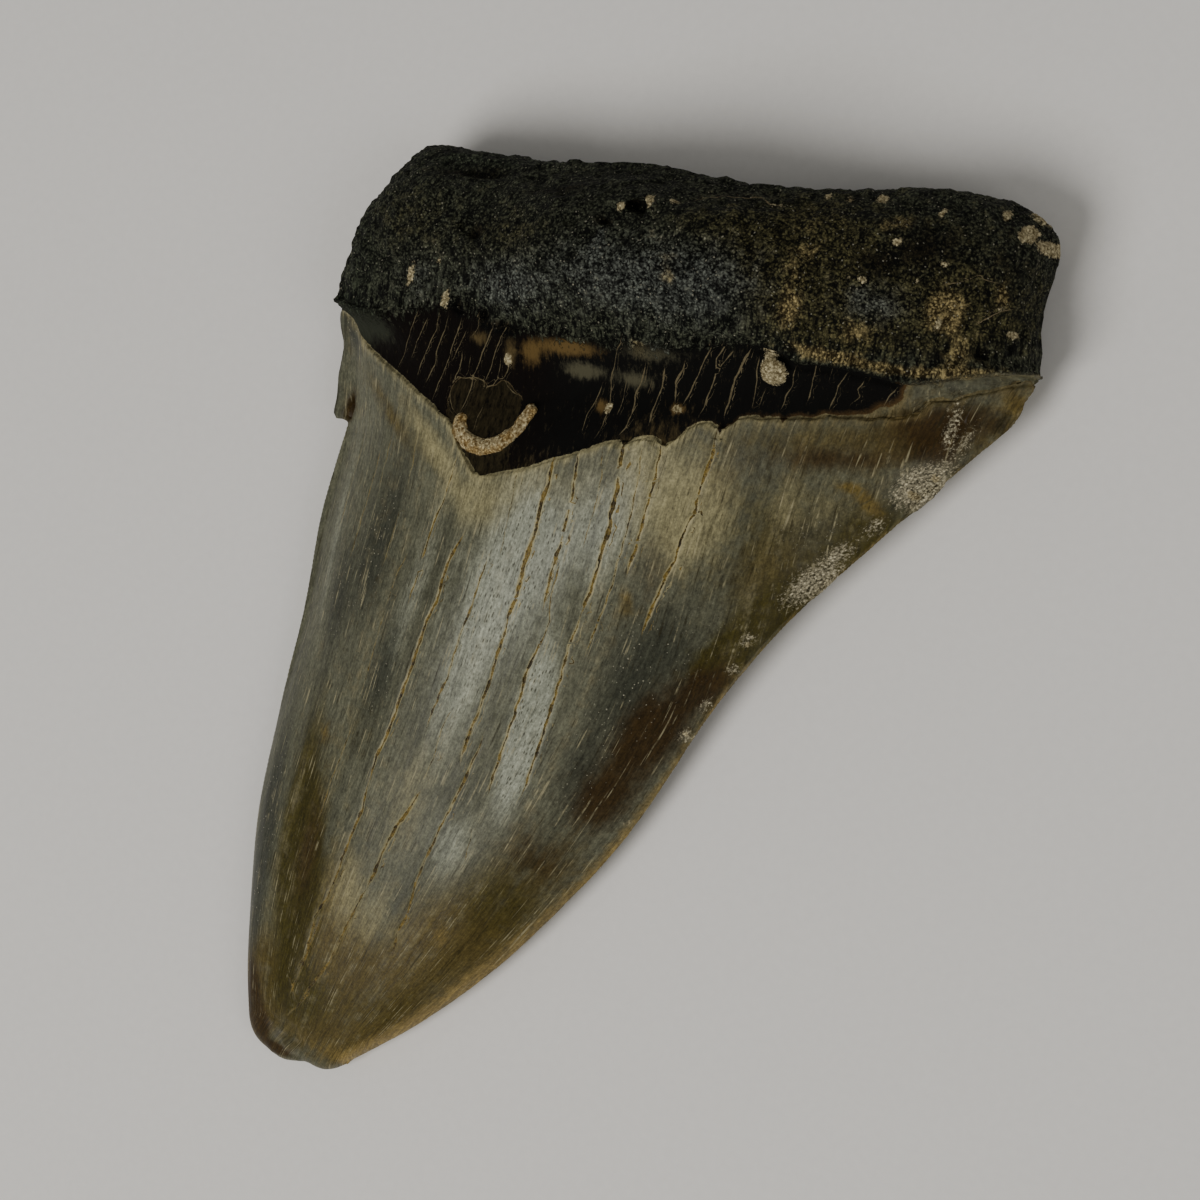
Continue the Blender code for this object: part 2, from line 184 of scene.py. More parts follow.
RAGGED_ROOT = [
    (-42.4, 36.5), (-38.7, 36.2), (-36.8, 35.8), (-35.6, 35.5), (-32.1, 35.5), (-29.2, 35.9),
    (-26.2, 36.7), (-23.5, 37.5), (-21, 37.8), (-19.1, 37.5), (-17.6, 37), (-16.2, 36.5),
    (-14.8, 35.9), (-13.4, 35.7), (-11.8, 35.9), (-10.1, 35.8), (-8.3, 35.7), (-4.9, 35.5),
    (-2.2, 35.5), (0.4, 35.7), (2.9, 35.6), (5.4, 35.5), (7.7, 35.5), (10.1, 35.9), (12.6, 36.3),
    (15, 36.8), (17.2, 37), (19.6, 37), (21.2, 36.8), (22.3, 36.2), (22.7, 35.7), (23.7, 35.6),
    (25.1, 35.8), (28.6, 35.7), (30.7, 35.6), (32.2, 35.4), (33.3, 35.3), (34, 35), (35.6, 34.9),
    (37.3, 35.3), (38.8, 35.8), (40.7, 36.3), (43.1, 37), (44.5, 37.4), (46.6, 37.9)]

# Cracks in the enamel, filled with ochre clay: half width, then places from the root to the tip
ENAMEL_CRACKS = [
    (0.17, [(-4, 22.4), (-4.4, 18.8), (-5, 16.3), (-5.3, 13.7), (-5.8, 12), (-6.4, 9.9),
        (-6.9, 7.5), (-7.3, 5.6), (-8.2, 3.6), (-8.6, 1.8)]),
    (0.11, [(-8.2, 3.2), (-9.5, -1), (-10.7, -5), (-11.6, -7.6), (-12.9, -10.9), (-14, -13.9),
        (-14.3, -15.6)]),
    (0.10, [(-11.2, -10.9), (-12.5, -14.3), (-13.9, -17.6), (-15, -19.9), (-16.8, -23.7),
        (-18.2, -26.9), (-19.3, -29.6), (-20.1, -32.2), (-20.8, -34.9), (-22, -36.9),
        (-22.8, -41.2)]),
    (0.12, [(-0.9, 23.2), (-1.1, 19.6), (-1.3, 17.3), (-1.8, 14.6), (-2.1, 12.5), (-2.6, 10.8),
        (-3.3, 8.7), (-4.2, 4.2)]),
    (0.06, [(-2.2, 10.2), (-3.2, 6.3), (-3.5, 3.3), (-4.6, 0)]),
    (0.11, [(-4.4, 1), (-6.2, -2.9), (-6.9, -5.5), (-8, -9.1), (-9, -12), (-9.7, -14.2),
        (-10.9, -18.3)]),
    (0.05, [(1.9, 23.9), (2.1, 20.4), (1.8, 17.7), (0.9, 13.9), (0.5, 12.2)]),
    (0.15, [(4.4, 25.4), (4.2, 21.7), (4.1, 19.3), (3.7, 17), (3.4, 14.3), (2.7, 12.6), (2.2, 10.2),
        (1.2, 7.3), (0, 4.5)]),
    (0.10, [(0.3, 5.3), (-0.6, 2.7), (-1.5, 0.5), (-2.6, -3.7), (-3.6, -7), (-4.6, -10.3),
        (-5.6, -13.5), (-7, -18)]),
    (0.07, [(6.6, 25.9), (6.5, 21.3), (6.2, 18.7), (5.6, 15.6), (4.8, 12.5), (3.7, 8.7), (2.8, 6.2),
        (1.2, 2.3), (0.1, -0.6)]),
    (0.12, [(8.8, 25.4), (8.4, 21.3), (7.8, 18.5), (7.1, 15.8), (6.4, 13.1), (5.2, 9.6)]),
    (0.13, [(14.8, 27.6), (14.4, 24), (13.4, 21), (12.8, 18.3), (11.1, 14.4), (10.4, 12.1),
        (9.4, 10.2), (7.6, 6), (6.5, 3.1)]),
    (0.10, [(-17.3, 21.2), (-18.3, 17.8), (-19.1, 14.9), (-20.3, 12.1), (-21, 9.2), (-21.7, 5.7),
        (-22.7, 2.1)]),
    (0.14, [(-14.9, 12.1), (-16.7, 8.8), (-17.6, 5.9), (-18.1, 3.4), (-19.2, 1.2), (-20, -1.7),
        (-20.9, -4.5), (-22.1, -7.9), (-23.2, -11.1), (-24.2, -13.8), (-25.4, -16.1),
        (-26.4, -19.8)]),
    (0.12, [(-26.1, -18.8), (-27.1, -22.8), (-28.2, -25.5), (-29.7, -29.7), (-30.5, -31.7),
        (-31.6, -34.5), (-33.3, -37.3), (-34.4, -42), (-36.2, -44.9)]),
    (0.08, [(-10.9, 10.6), (-12.2, 7), (-13.1, 3.5), (-14.5, -0.1), (-15.9, -5.1), (-17, -7.4),
        (-18.9, -12.2)]),
    (0.05, [(-15.3, -8.8), (-16.6, -11.5), (-17.6, -14.8), (-18.4, -16.7), (-19.5, -20)]),
    (0.14, [(-19.1, -19), (-21, -22.4), (-22.5, -24.5), (-24.1, -27.6), (-25.1, -30.3),
        (-26.3, -32.7)]),
    (0.10, [(-26, -32.2), (-27.9, -35.5), (-29.5, -39.1), (-31.1, -42.4), (-33.2, -45.4),
        (-35.3, -48.1)]),
    (0.06, [(-29.5, -11.6), (-30.5, -14.9), (-31.6, -18), (-32.7, -21), (-33.5, -24),
        (-34.4, -26.4)]),
    (0.05, [(-24.5, 24.2), (-25.4, 16.6), (-26.5, 12.3), (-27.2, 8.4), (-28.1, 5.5)]),
    (0.05, [(-24, 8.1), (-25.4, 4.8), (-26.2, 1.6)]),
    (0.05, [(-26.3, 1.1), (-27.3, -2.6), (-28.4, -7.1), (-29.3, -10.6)]),
    (0.09, [(-32.4, -37.2), (-33.6, -40.3), (-34.9, -43.5), (-37.1, -48.1)]),
    (0.07, [(-33.6, -45.5), (-34, -47.1), (-36.3, -49.5), (-37.7, -50.9)]),
    (0.04, [(-8.6, 20.2), (-8.8, 16.3), (-9.4, 12.8), (-9.7, 9.4)]),
    (0.04, [(-28.6, 25.6), (-29.8, 20.8), (-30.9, 14.7)]),
    (0.04, [(-35.4, 22), (-36.6, 15), (-37.8, 8)]),
    (0.05, [(-31.5, 20), (-33, 12), (-34.2, 6)]),
    (0.04, [(-12.6, -22.7), (-13.5, -26.7)]),
    (0.05, [(-37, -45.4), (-35.9, -48.4)]),
]

# Cracks of the band and of the root, filled with pale clay
BAND_CRACKS = [
    (0.05, [(-25.8, 36.5), (-26.4, 35.4), (-27.6, 33.1), (-29, 30.8), (-29.7, 29.5)]),
    (0.05, [(-24.4, 35.7), (-25.3, 34.1), (-26.3, 32.6), (-27.4, 30.8)]),
    (0.06, [(-22.8, 36.4), (-23.3, 34.3), (-24.5, 32.1), (-25.5, 30.8), (-26.3, 28.8)]),
    (0.06, [(-21.4, 36.4), (-22.1, 34.2), (-23.2, 31.6), (-23.6, 30), (-24.7, 28)]),
    (0.07, [(-19.6, 36), (-20.2, 34.1), (-21.3, 31.5), (-22.1, 29.2), (-23.2, 26.4)]),
    (0.05, [(-18.9, 34.6), (-19.1, 33.9), (-19.9, 32.6), (-20.8, 30.9)]),
    (0.06, [(-19.3, 32.2), (-19.7, 29.9), (-20.6, 28.1)]),
    (0.05, [(-16.8, 36.7), (-17.1, 35.3), (-18, 34.1)]),
    (0.04, [(-18.1, 31.8), (-18.3, 29.7)]),
    (0.07, [(-14.8, 35.8), (-15.4, 34.4), (-16.3, 32.8), (-17, 30.7), (-17.4, 29.7), (-17.7, 28.1),
        (-18.5, 25.3)]),
    (0.07, [(-12.7, 36), (-13.8, 34.4), (-14.6, 32.5), (-15.2, 30.6), (-15.7, 29.4)]),
    (0.04, [(-13.8, 32), (-14.1, 29.7)]),
    (0.05, [(-12.5, 31.8), (-12.8, 30.5), (-13.2, 29.8)]),
    (0.05, [(-15.6, 26.3), (-16, 23.5)]),
    (0.07, [(3.1, 36.2), (2.3, 34.9), (1.6, 33.1), (1.1, 31.4), (1.2, 29.6), (1.5, 28.2),
        (1.2, 26.3), (0.6, 24.6)]),
    (0.06, [(0.1, 30.8), (-0.5, 28.7), (-1.2, 27.1), (-1.2, 25.1)]),
    (0.05, [(3, 31.5), (2.9, 29.1), (2.7, 27.6)]),
    (0.08, [(5.5, 33.5), (5, 31.7), (4.4, 29.8), (4.5, 28.6), (4.1, 26.3), (3.5, 25.3)]),
    (0.04, [(6.2, 31.9), (5.8, 30.2)]),
    (0.08, [(7.8, 33.3), (7.6, 32.2), (7.2, 30.3), (6.8, 28.3), (6.8, 27)]),
    (0.10, [(10.3, 34.4), (9.9, 33.4), (9.1, 31.9), (9.4, 29.9)]),
    (0.08, [(13.7, 36.9), (12.6, 34.9), (11.8, 33.1), (11.1, 31.6), (10.4, 29.7)]),
    (0.08, [(15.2, 37.1), (13.9, 35.1), (13.7, 33.3), (13.1, 31.3), (12.6, 29.4), (12.4, 28.5)]),
    (0.06, [(15.8, 36.1), (14.5, 34.5), (14.1, 33.5)]),
    (0.11, [(17.9, 36.7), (16.8, 34.9), (15.9, 33), (15.6, 31.4), (15.3, 29.9), (15.1, 28.8)]),
    (0.06, [(18.7, 35.8), (18.4, 33.4), (18.1, 30.3)]),
    (0.05, [(19.4, 32.4), (18.8, 30.6)]),
    (0.07, [(22.7, 35.1), (22.3, 33.3), (21.5, 31.9), (21.3, 30.7)]),
    (0.06, [(25.1, 35.6), (24.6, 34), (24, 31.9)]),
    (0.04, [(26.7, 35.4), (26.5, 34.4)]),
    (0.06, [(28.4, 35.2), (27.4, 33.9), (27, 33.1), (26.2, 31.4)]),
    (0.05, [(30.1, 34.7), (29.4, 33.8), (29.6, 33), (28.5, 32.1)]),
    (0.05, [(33.7, 34.4), (32.9, 33.7), (31.7, 32.2)]),
    (0.05, [(-18.9, 25), (-20, 25.7), (-20.5, 26.7), (-20.6, 28.1), (-19.6, 29.3), (-18.7, 29.2),
        (-17.2, 29.5), (-16, 29.2), (-15.7, 28.4)]),
    (0.05, [(-15.9, 28.4), (-14.5, 28.9), (-14.1, 29.6), (-13.2, 29.8), (-12.6, 29), (-11.8, 28.4),
        (-10.8, 28.1)]),
    (0.05, [(38, 46.1), (39.4, 46.5), (40.5, 47.1), (41.2, 47.8), (41.7, 47.2), (43, 47)]),
    (0.05, [(41.5, 42.3), (42.8, 43.4), (43.5, 44.1), (44.4, 44.5)]),
    (0.04, [(9, 52.1), (10.2, 52.8), (12.5, 53.2), (16, 53.4), (17.2, 53), (19.1, 52.8)]),
]

# Furrows worn into the root: half width, depth, places
ROOT_FURROWS = [
    (0.7, 0.6, [(-27.5, 54.4), (-24.2, 53.6), (-20.9, 53.1), (-18.9, 53.1), (-16.6, 53.4)]),
    (0.5, 0.3, [(-16.6, 53.4), (-12.5, 53), (-6.8, 51.6), (-4.8, 50.8)]),
    (0.4, 0.3, [(-37.1, 35.6), (-33.2, 35.5), (-29.4, 35.7)]),
]

# Hollows and holes of the root: x, y, half width across and along, depth
ROOT_PITS = [
    (-18.3, 45.8, 1.2, 1, 0.7), (2.7, 50.6, 0.9, 0.5, 0.8), (-0.1, 48.8, 0.9, 0.6, 0.7),
    (2.8, 47, 0.5, 0.5, 0.4), (29.6, 48.6, 0.7, 0.7, 0.4), (36.4, 52, 1.6, 0.8, 0.4),
    (42.7, 39.4, 1.4, 1.2, 0.6), (38.3, 38, 0.9, 0.9, 0.4), (45.7, 52.3, 0.9, 0.8, 0.5),
    (-20, 37.2, 1.2, 0.9, 0.5), (-16, 36.6, 1.1, 0.7, 0.5), (-13.2, 35.9, 2.2, 0.7, 0.4)]

# Plugs and crumbs of pale clay on the root and the band: x, y, half sizes, turn in degrees
CLAY_SPECKS = [
    (1.4, 50.4, 0.65, 0.6, 0), (4.6, 51.3, 0.8, 0.95, 0), (7.6, 51.8, 0.7, 0.35, 0),
    (-27, 40.1, 0.45, 1.6, -20), (-21.5, 38, 0.5, 1.4, -25), (-22.8, 42.1, 0.25, 0.5, -20),
    (28.9, 54.8, 0.8, 0.5, 0), (36.1, 54, 0.5, 0.5, 0), (32.6, 50.1, 0.6, 0.5, 20),
    (31.9, 48.7, 0.15, 0.3, 0), (29.9, 45.5, 0.5, 0.45, 0), (28.6, 45.5, 0.5, 0.15, 0),
    (37.8, 48.3, 0.45, 0.4, 0), (35.5, 46.1, 0.45, 0.2, 20), (44.8, 41.8, 0.5, 0.5, 0),
    (42.2, 54.8, 0.5, 0.7, 30), (22.8, 54.4, 0.4, 0.4, 0), (25.3, 54.4, 0.5, 0.3, 20),
    (44.8, 52.8, 0.9, 1.2, 20), (46.3, 51.6, 0.7, 1, 20), (44.9, 54.9, 1.6, 0.5, -35),
    (20.4, 34.5, 1.55, 1.5, 0), (20.2, 36.2, 1, 0.5, 0), (-12.7, 32, 0.6, 0.8, 0),
    (37.9, 41.7, 0.4, 0.9, -10), (43.5, 44.4, 0.5, 0.25, 30), (1.4, 28.1, 0.5, 0.7, -20),
    (9.7, 29, 0.6, 0.5, 0), (18, 52.9, 1.1, 0.2, 0), (16.5, 3.5, 0.4, 0.25, 50),
    (9.8, -8, 0.3, 0.3, 0), (3.7, -19.5, 0.4, 0.25, 50), (35.9, 25.1, 0.6, 0.4, 40),
    (33.6, 22.9, 0.6, 0.6, 0)]

# The crust of a worm tube: its middle line, and its half width at the start and at the end
WORM_TUBE = [(-18.2, 24.2), (-17.6, 22.9), (-16.2, 22), (-14.2, 21.7), (-11.9, 22.4),
             (-10, 24.2), (-8.7, 26.6)]
TUBE_HALF_WIDTHS = (1.05, 0.8)

# Where the band's top layer has peeled away: the scalloped rim, left to right
PLATE_RIM = [
    (-20.7, 26.5), (-20.4, 28), (-19.5, 29.2), (-18, 29.3), (-16.8, 29.5), (-15.8, 29.2),
    (-15.2, 28.6), (-14.3, 28.9), (-13.4, 29.6), (-12.4, 29.4), (-11.6, 28.6), (-10.4, 28)]

# Scars of spalled enamel: x, y, half length, half width, turn in degrees
SCARS = [
    (34.5, 23.8, 3.4, 1.8, 46), (36.8, 26.1, 1.7, 0.6, 46), (23.4, 11.7, 4.1, 1.3, 46),
    (26, 14.9, 2, 0.7, 46), (38.3, 31, 2.2, 0.45, 78), (39.4, 29.6, 1.4, 0.35, 60),
    (29.9, 18.9, 1, 0.4, 45), (9.9, -8.2, 0.8, 0.5, 50), (16.6, 4.1, 0.7, 0.4, 50),
    (12, -4.2, 0.6, 0.3, 55), (14.9, 0.4, 0.5, 0.3, 50)]

# Shell-shaped nicks of the right corner and the chipped tip: x, y, half sizes, turn, depth
NICKS = [
    (44.6, 34.9, 1.5, 0.9, 60, 0.45), (43.2, 32.6, 1.6, 1, 50, 0.5),
    (40.8, 30.2, 1.5, 0.8, 45, 0.35), (-39.6, -52.2, 1.4, 2.2, 40, 0.5),
    (-37, -53.8, 1.6, 1, 10, 0.4), (-39.6, 23.9, 0.9, 2, -12, 1.3)]

# The torn flap of enamel at the left is hollowed above and ends in a hook: x, y, reach, and how
# far its outline moves across and along
FLAP = [(-42.2, 31, 2.3, 0.75, 0), (-41.2, 23.5, 0.9, -0.45, -1)]

# Growth lines of the enamel run together towards the tip. Polynomials of (Y - 20) / 70: the
# middle line's X, and how far the lines stand apart compared with those at Y = 20
GROWTH_MIDDLE, GROWTH_SPREAD = (0.7, -13.9, 15, 0), (0.69, 0.44, 0.32, 1)

# Soft stains and painted light, each as x, y, half sizes across and along, turn in degrees,
# strength
STAINS_AND_PAINTED_LIGHT = {
    "umber": [
        (-30, -47, 13, 9, 0, 1.4), (-14, -36, 10, 6, 35, 1.1), (-31, -35, 4, 8, -10, 0.8),
        (-43, -48, 3.5, 6, 0, 1.2), (-22, 20.5, 7, 1.8, -38, 0.5), (26, 21, 13, 9, 20, 0.3),
        (38, 31, 8, 3.5, 15, 0.7), (24, 27.5, 14, 2.5, 8, 0.5), (20, 12, 5, 10, -42, 0.6),
        (-5, -26, 7, 5, 40, 0.5), (-30.5, 24, 7, 1.2, -38, 0.8)],
    "slate": [
        (-29, 9, 3.2, 11, -12, 1), (-25.5, -6, 2.5, 8, -14, 0.9), (-35.5, 1, 2.6, 8, -8, 0.8),
        (5, -4, 4, 7, -12, 0.9), (9, 3, 4, 5, -20, 0.7), (-0.5, -14, 2.5, 7, -15, 0.8),
        (16, 7, 3.5, 5, -30, 0.3), (25, 17.5, 6, 4, 35, 0.5), (-43.5, -30, 2.2, 16, -4, 1.4),
        (-38.5, 34, 4, 3.2, 0, 1.5), (-36, 42, 4.5, 8, 15, 0.6), (-33, 34, 3.5, 1.6, -25, 0.8),
        (-20, 55, 14, 1.8, 5, 0.8), (20, 56, 20, 1.8, -3, 0.7)],
    "olive": [
        (-37.5, -22, 2.5, 12, -6, 0.8), (-36, -33, 3.6, 12, -4, 1.8), (-35.5, -47.5, 5, 4, 0, 0.9),
        (13.5, 0.8, 1.8, 4, -42, 1.4), (20.5, 9, 2, 10, -44, 1.5), (29.5, 18.5, 2.2, 4, -44, 1),
        (-10, -31, 6, 5, 30, 0.7), (-24, -47, 8, 4, 20, 0.4), (-28.5, -14, 3, 6, -15, 0.3),
        (18, 17, 4, 7, -25, 0.4), (-28, 47, 8, 6, 0, 0.5), (-12, 46, 9, 4, 0, 0.6),
        (22, 46, 6, 7, 0, 1.2), (30, 47, 18, 9, 0, 0.8), (29, 39.5, 7, 2.5, 0, 1),
        (41, 43, 5, 5, 0, 0.9), (12, 50, 6, 3, 0, 0.5)],
    # The brown ovals make the tooth darker, both in stains and over the root's pits and furrows and
    # the torn flap's hollow
    "brown": [
        (38, 31.5, 7, 2.5, 15, 0.9), (-35, -30, 2.2, 8, -6, 0.6), (-43.5, -49, 2, 5, 10, 1.2),
        (6.5, -8.5, 3.2, 6.5, -32, 1.3), (1.5, -17, 3.2, 5, -35, 1), (12, -2, 2, 4, -40, 1),
        (27, 25.8, 8, 1.6, 8, 0.75), (16, 22, 3, 5, -20, 0.4), (37, 28.5, 3, 3, 0, 0.7),
        (-41.9, -52.4, 1.3, 1.9, 20, 1.5), (-39.6, -55.3, 2.2, 0.8, -10, 1.5),
        (-5, -25, 4, 4, -30, 0.6), (8.5, 11, 3, 6, -20, 0.4), (-39.5, 23.9, 0.9, 2, -12, 1.5),
        (-17.9, 46, 1.5, 1.2, 0, 1), (-0.3, 48.7, 1.3, 0.8, 0, 1.1), (2.7, 50.7, 1, 0.5, 0, 1.2),
        (-13.2, 35.3, 2.4, 0.8, 0, 1.3), (-16.2, 36.2, 1.2, 1, 0, 1.3),
        (-19.8, 37, 1.4, 1.2, 0, 1.3), (36, 50, 4.5, 3, 0, 0.9), (42.5, 39.3, 1.3, 1.1, 0, 1.1),
        (38.3, 38.2, 1, 0.9, 0, 1), (31, 47.5, 3, 2, 0, 0.8), (-22, 53.2, 7, 0.8, 5, 0.9),
        (-8, 52, 6, 0.8, 10, 0.8), (44, 49, 2, 4, 0, 0.6)],
    "tan": [
        (8, 20.5, 6, 7, -20, 0.9), (14.5, 18, 3, 7, -20, 0.8), (-13.5, 15.5, 6, 3.5, 0, 0.9),
        (-22, 21, 7, 1.5, -38, 0.9), (-5, 18, 6, 4, 0, 0.6), (-29, -33, 3, 6, -15, 0.5),
        (-25, -36, 4, 4, -15, 0.4), (11.5, 16, 2.5, 6, -20, 0.6), (24, 20, 4.5, 3.5, 0, 0.3),
        (-21, -20, 3, 9, -16, 0.4), (38.5, 43.2, 2, 2.6, 0, 1.5), (22.5, 41.4, 1.3, 2, 0, 1.3),
        (43.5, 45.7, 0.7, 1.5, 0, 1.1), (25.8, 37.1, 4.5, 0.8, -3, 1.2), (33, 36.4, 5, 0.7, -3, 1),
        (41, 37, 5, 0.7, 8, 0.9), (40.3, 38.6, 1.4, 2.2, -20, 0.8), (29.7, 39.9, 2.6, 1.6, 0, 0.8),
        (-12.4, 32.8, 1, 1.8, 0, 0.9), (-16.9, 34, 1.4, 1, 0, 0.8), (5, 35, 1.5, 1.2, 0, 0.7),
        (23, 47, 2, 4, 0, 0.6), (32, 52, 2.5, 1.2, 0, 0.6), (9, 44, 1.5, 2.5, 0, 0.5)],
    # The pale ovals are partly a paler tone and partly painted light: a painted highlight along the
    # crown's crest, a painted sheen on the band, and painted sparkle on the root's crystals
    "pale": [
        (-9.5, 5.5, 2.6, 7, -17, 0.7), (14, 44, 7, 5, 0, 0.6), (-11.5, 3, 6.5, 14, -17, 0.55),
        (-15.5, -8, 3.5, 9, -17, 0.35), (-6.4, -10, 1.7, 9.5, -16, 2.2),
        (-15.5, -25, 3, 5, -20, 0.6), (-6, 11, 4, 8, -17, 1.1), (2.5, 15, 4, 8, -18, 0.7),
        (-22, 4, 2, 10, -15, 0.4), (-38, 8, 1.2, 12, -5, 0.4), (4, 42.5, 13, 5, -5, 1),
        (-13, 40, 7, 3.5, 0, 0.9), (31, 43, 4, 3, 0, 0.8), (0, 46, 0.6, 1.6, 0, 1.5),
        (-2.5, 31.9, 2.8, 1.1, 0, 1.1), (4, 31.6, 3, 1, 0, 0.8), (6, 34.8, 4, 1.2, 0, 0.7),
        (-26, 40, 4, 4, 0, 0.5)],
    "amber": [
        (-8, -37, 1.4, 20, -52, 0.4), (1, -24.5, 1, 8, -38, 0.4), (-30, -54.5, 7, 1.5, -10, 0.7),
        (44, 34.5, 1.8, 2, 0, 0.9), (28.4, 22.9, 1.1, 0.6, 0, 1.3), (30, 21.4, 0.7, 1.6, 30, 1.2),
        (-34.5, -15, 0.9, 1.5, 0, 0.8), (-16.5, -36.5, 1, 1.2, 0, 0.9),
        (5.2, 6.3, 0.9, 1.8, 0, 0.8), (8.5, -14.5, 0.9, 1.4, -30, 0.9),
        (-4.5, 34.3, 4.5, 1.1, 0, 1.2), (-9.5, 33, 1.6, 1.6, 0, 0.9), (0.5, 28.2, 1, 0.9, 0, 1),
        (9.7, 29, 1, 0.7, 0, 1)],
}


def shape_of(piece):
    """The places of a piece's vertices in millimetres, and their normals."""
    count = len(piece.data.vertices) * 3
    places, normals = np.empty(count), np.empty(count)
    piece.data.vertices.foreach_get("co", places)
    piece.data.vertex_normals.foreach_get("vector", normals)
    return places.reshape(-1, 3) / MM, normals.reshape(-1, 3)


def put(piece, places):
    """Moves a piece's vertices to places in millimetres."""
    piece.data.vertices.foreach_set("co", (places * MM).ravel())
    piece.data.update()


def ease(values, start=0.0, end=1.0):
    """Rises softly from 0 at the start to 1 at the end."""
    t = np.clip((values - start) / (end - start), 0.0, 1.0)
    return t * t * (3 - 2 * t)


def height_of(line, x):
    """The line's Y at each X."""
    return np.interp(x, *np.array(line).T)


def beside(places, line):
    """Distance from a line seen from above, signed by the side, and the share of its length."""
    points = np.array(line)
    runs = np.diff(points, axis=0)
    lengths = np.linalg.norm(runs, axis=1)
    starts = np.append(0, np.cumsum(lengths))
    nearest, side, share = np.full(len(places), 1e9), np.ones(len(places)), np.zeros(len(places))
    for point, run, length, start in zip(points, runs, lengths, starts):
        way = places[:, :2] - point
        along = np.clip(way @ run / length**2, 0, 1)
        gap = np.linalg.norm(way - along[:, None] * run, axis=1)
        closer = gap < nearest
        nearest[closer] = gap[closer]
        side[closer] = np.sign(way[closer, 0] * run[1] - way[closer, 1] * run[0])
        share[closer] = (start + along[closer] * length) / starts[-1]
    return nearest * np.where(side == 0, 1, side), share


def inside(places, x, y, across, along, turned=0.0):
    """1 at the middle of an oval seen from above, 0 on its outline, and below 0 outside."""
    angle = math.radians(turned)
    dx, dy = places[:, 0] - x, places[:, 1] - y
    u = (dx * math.cos(angle) + dy * math.sin(angle)) / across
    v = (dy * math.cos(angle) - dx * math.sin(angle)) / along
    return 1 - np.hypot(u, v)


def rough(places, size, octaves=3):
    """Even noise between about -1 and 1, with lumps of the given size."""
    return np.array([noise.fractal(Vector(place), 0.8, 2.0, octaves) for place in places / size])


def waver(places, size, reach):
    """Places moved sideways by noise, so that a line drawn with them wavers."""
    moved = places.copy()
    moved[:, 0] += reach * np.array([noise.noise(Vector(place)) for place in places / size])
    return moved


def cracks_at(places, cracks, reach):
    """Signed distance from the nearest crack, and that crack's half width where it is near."""
    nearest, width = np.full(len(places), reach), np.zeros(len(places))
    for half_width, line in cracks:
        xs, ys = np.array(line).T
        near = ((places[:, 0] > xs.min() - reach) & (places[:, 0] < xs.max() + reach)
                & (places[:, 1] > ys.min() - reach) & (places[:, 1] < ys.max() + reach))
        gap, share = beside(places[near], line)
        taper = half_width * np.minimum(1, 8 * np.minimum(share, 1 - share) + 0.15)
        spots = np.flatnonzero(near)
        closer = np.abs(gap) < np.abs(nearest[spots])
        nearest[spots[closer]] = gap[closer]
        width[spots[closer]] = (taper * (np.abs(gap) < reach * 0.8))[closer]
    return nearest, width


def refine(piece, spacing_at):
    """Splits edges until none is much longer than the spacing wanted at its ends."""
    bpy.context.tool_settings.mesh_select_mode = (False, True, False)
    for _ in range(4):
        mesh = piece.data
        places, normals = shape_of(piece)
        wanted = spacing_at(places, normals)
        ends = np.empty(len(mesh.edges) * 2, int)
        mesh.edges.foreach_get("vertices", ends)
        a, b = ends.reshape(-1, 2).T
        length = np.linalg.norm(places[a] - places[b], axis=1)
        long = length > 1.5 * np.minimum(wanted[a], wanted[b])
        if not long.any():
            break
        mesh.vertices.foreach_set("select", np.zeros(len(mesh.vertices), bool))
        mesh.polygons.foreach_set("select", np.zeros(len(mesh.polygons), bool))
        mesh.edges.foreach_set("select", long)
        bpy.ops.object.mode_set(mode="EDIT")
        bpy.ops.mesh.subdivide(number_cuts=1, ngon=False)
        bpy.ops.object.mode_set(mode="OBJECT")


# The solid's skin is merged, its sharp edges are creased, and it is subdivided
SHARP, CREASE, SUBDIVISIONS = math.radians(55), 0.7, 2
tooth = bpy.data.objects.new("fossil_tooth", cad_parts["tooth"].data.copy())
bpy.context.collection.objects.link(tooth)
bpy.ops.object.select_all(action="DESELECT")
tooth.select_set(True)
bpy.context.view_layer.objects.active = tooth
tooth.data.materials.clear()
bpy.ops.object.mode_set(mode="EDIT")
bpy.ops.mesh.select_all(action="SELECT")
bpy.ops.mesh.customdata_custom_splitnormals_clear()
bpy.ops.mesh.mark_sharp(clear=True)
bpy.ops.mesh.remove_doubles(threshold=0.000001)
bpy.ops.mesh.tris_convert_to_quads(face_threshold=math.radians(40),
                                   shape_threshold=math.radians(60))
bpy.ops.mesh.select_mode(type="EDGE")
bpy.ops.mesh.select_all(action="DESELECT")
bpy.ops.mesh.edges_select_sharp(sharpness=SHARP)
bpy.ops.transform.edge_crease(value=CREASE)
bpy.ops.object.mode_set(mode="OBJECT")
smooth = tooth.modifiers.new("smooth", "SUBSURF")
smooth.levels = smooth.render_levels = SUBDIVISIONS
bpy.ops.object.modifier_apply(modifier=smooth.name)

# Its smooth stretches need few faces, so it is thinned before the fine places are split again,
# to a spacing in millimetres
THINNED_TO = 0.3
SPACING = {"underside": 5.0, "crown": 1.1, "root": 0.45, "band": 0.3, "crack": 0.2, "edge": 0.2,
           "tube": 0.2, "scar": 0.28, "clay": 0.25}
thin = tooth.modifiers.new("thin", "DECIMATE")
thin.ratio = THINNED_TO
bpy.ops.object.modifier_apply(modifier=thin.name)


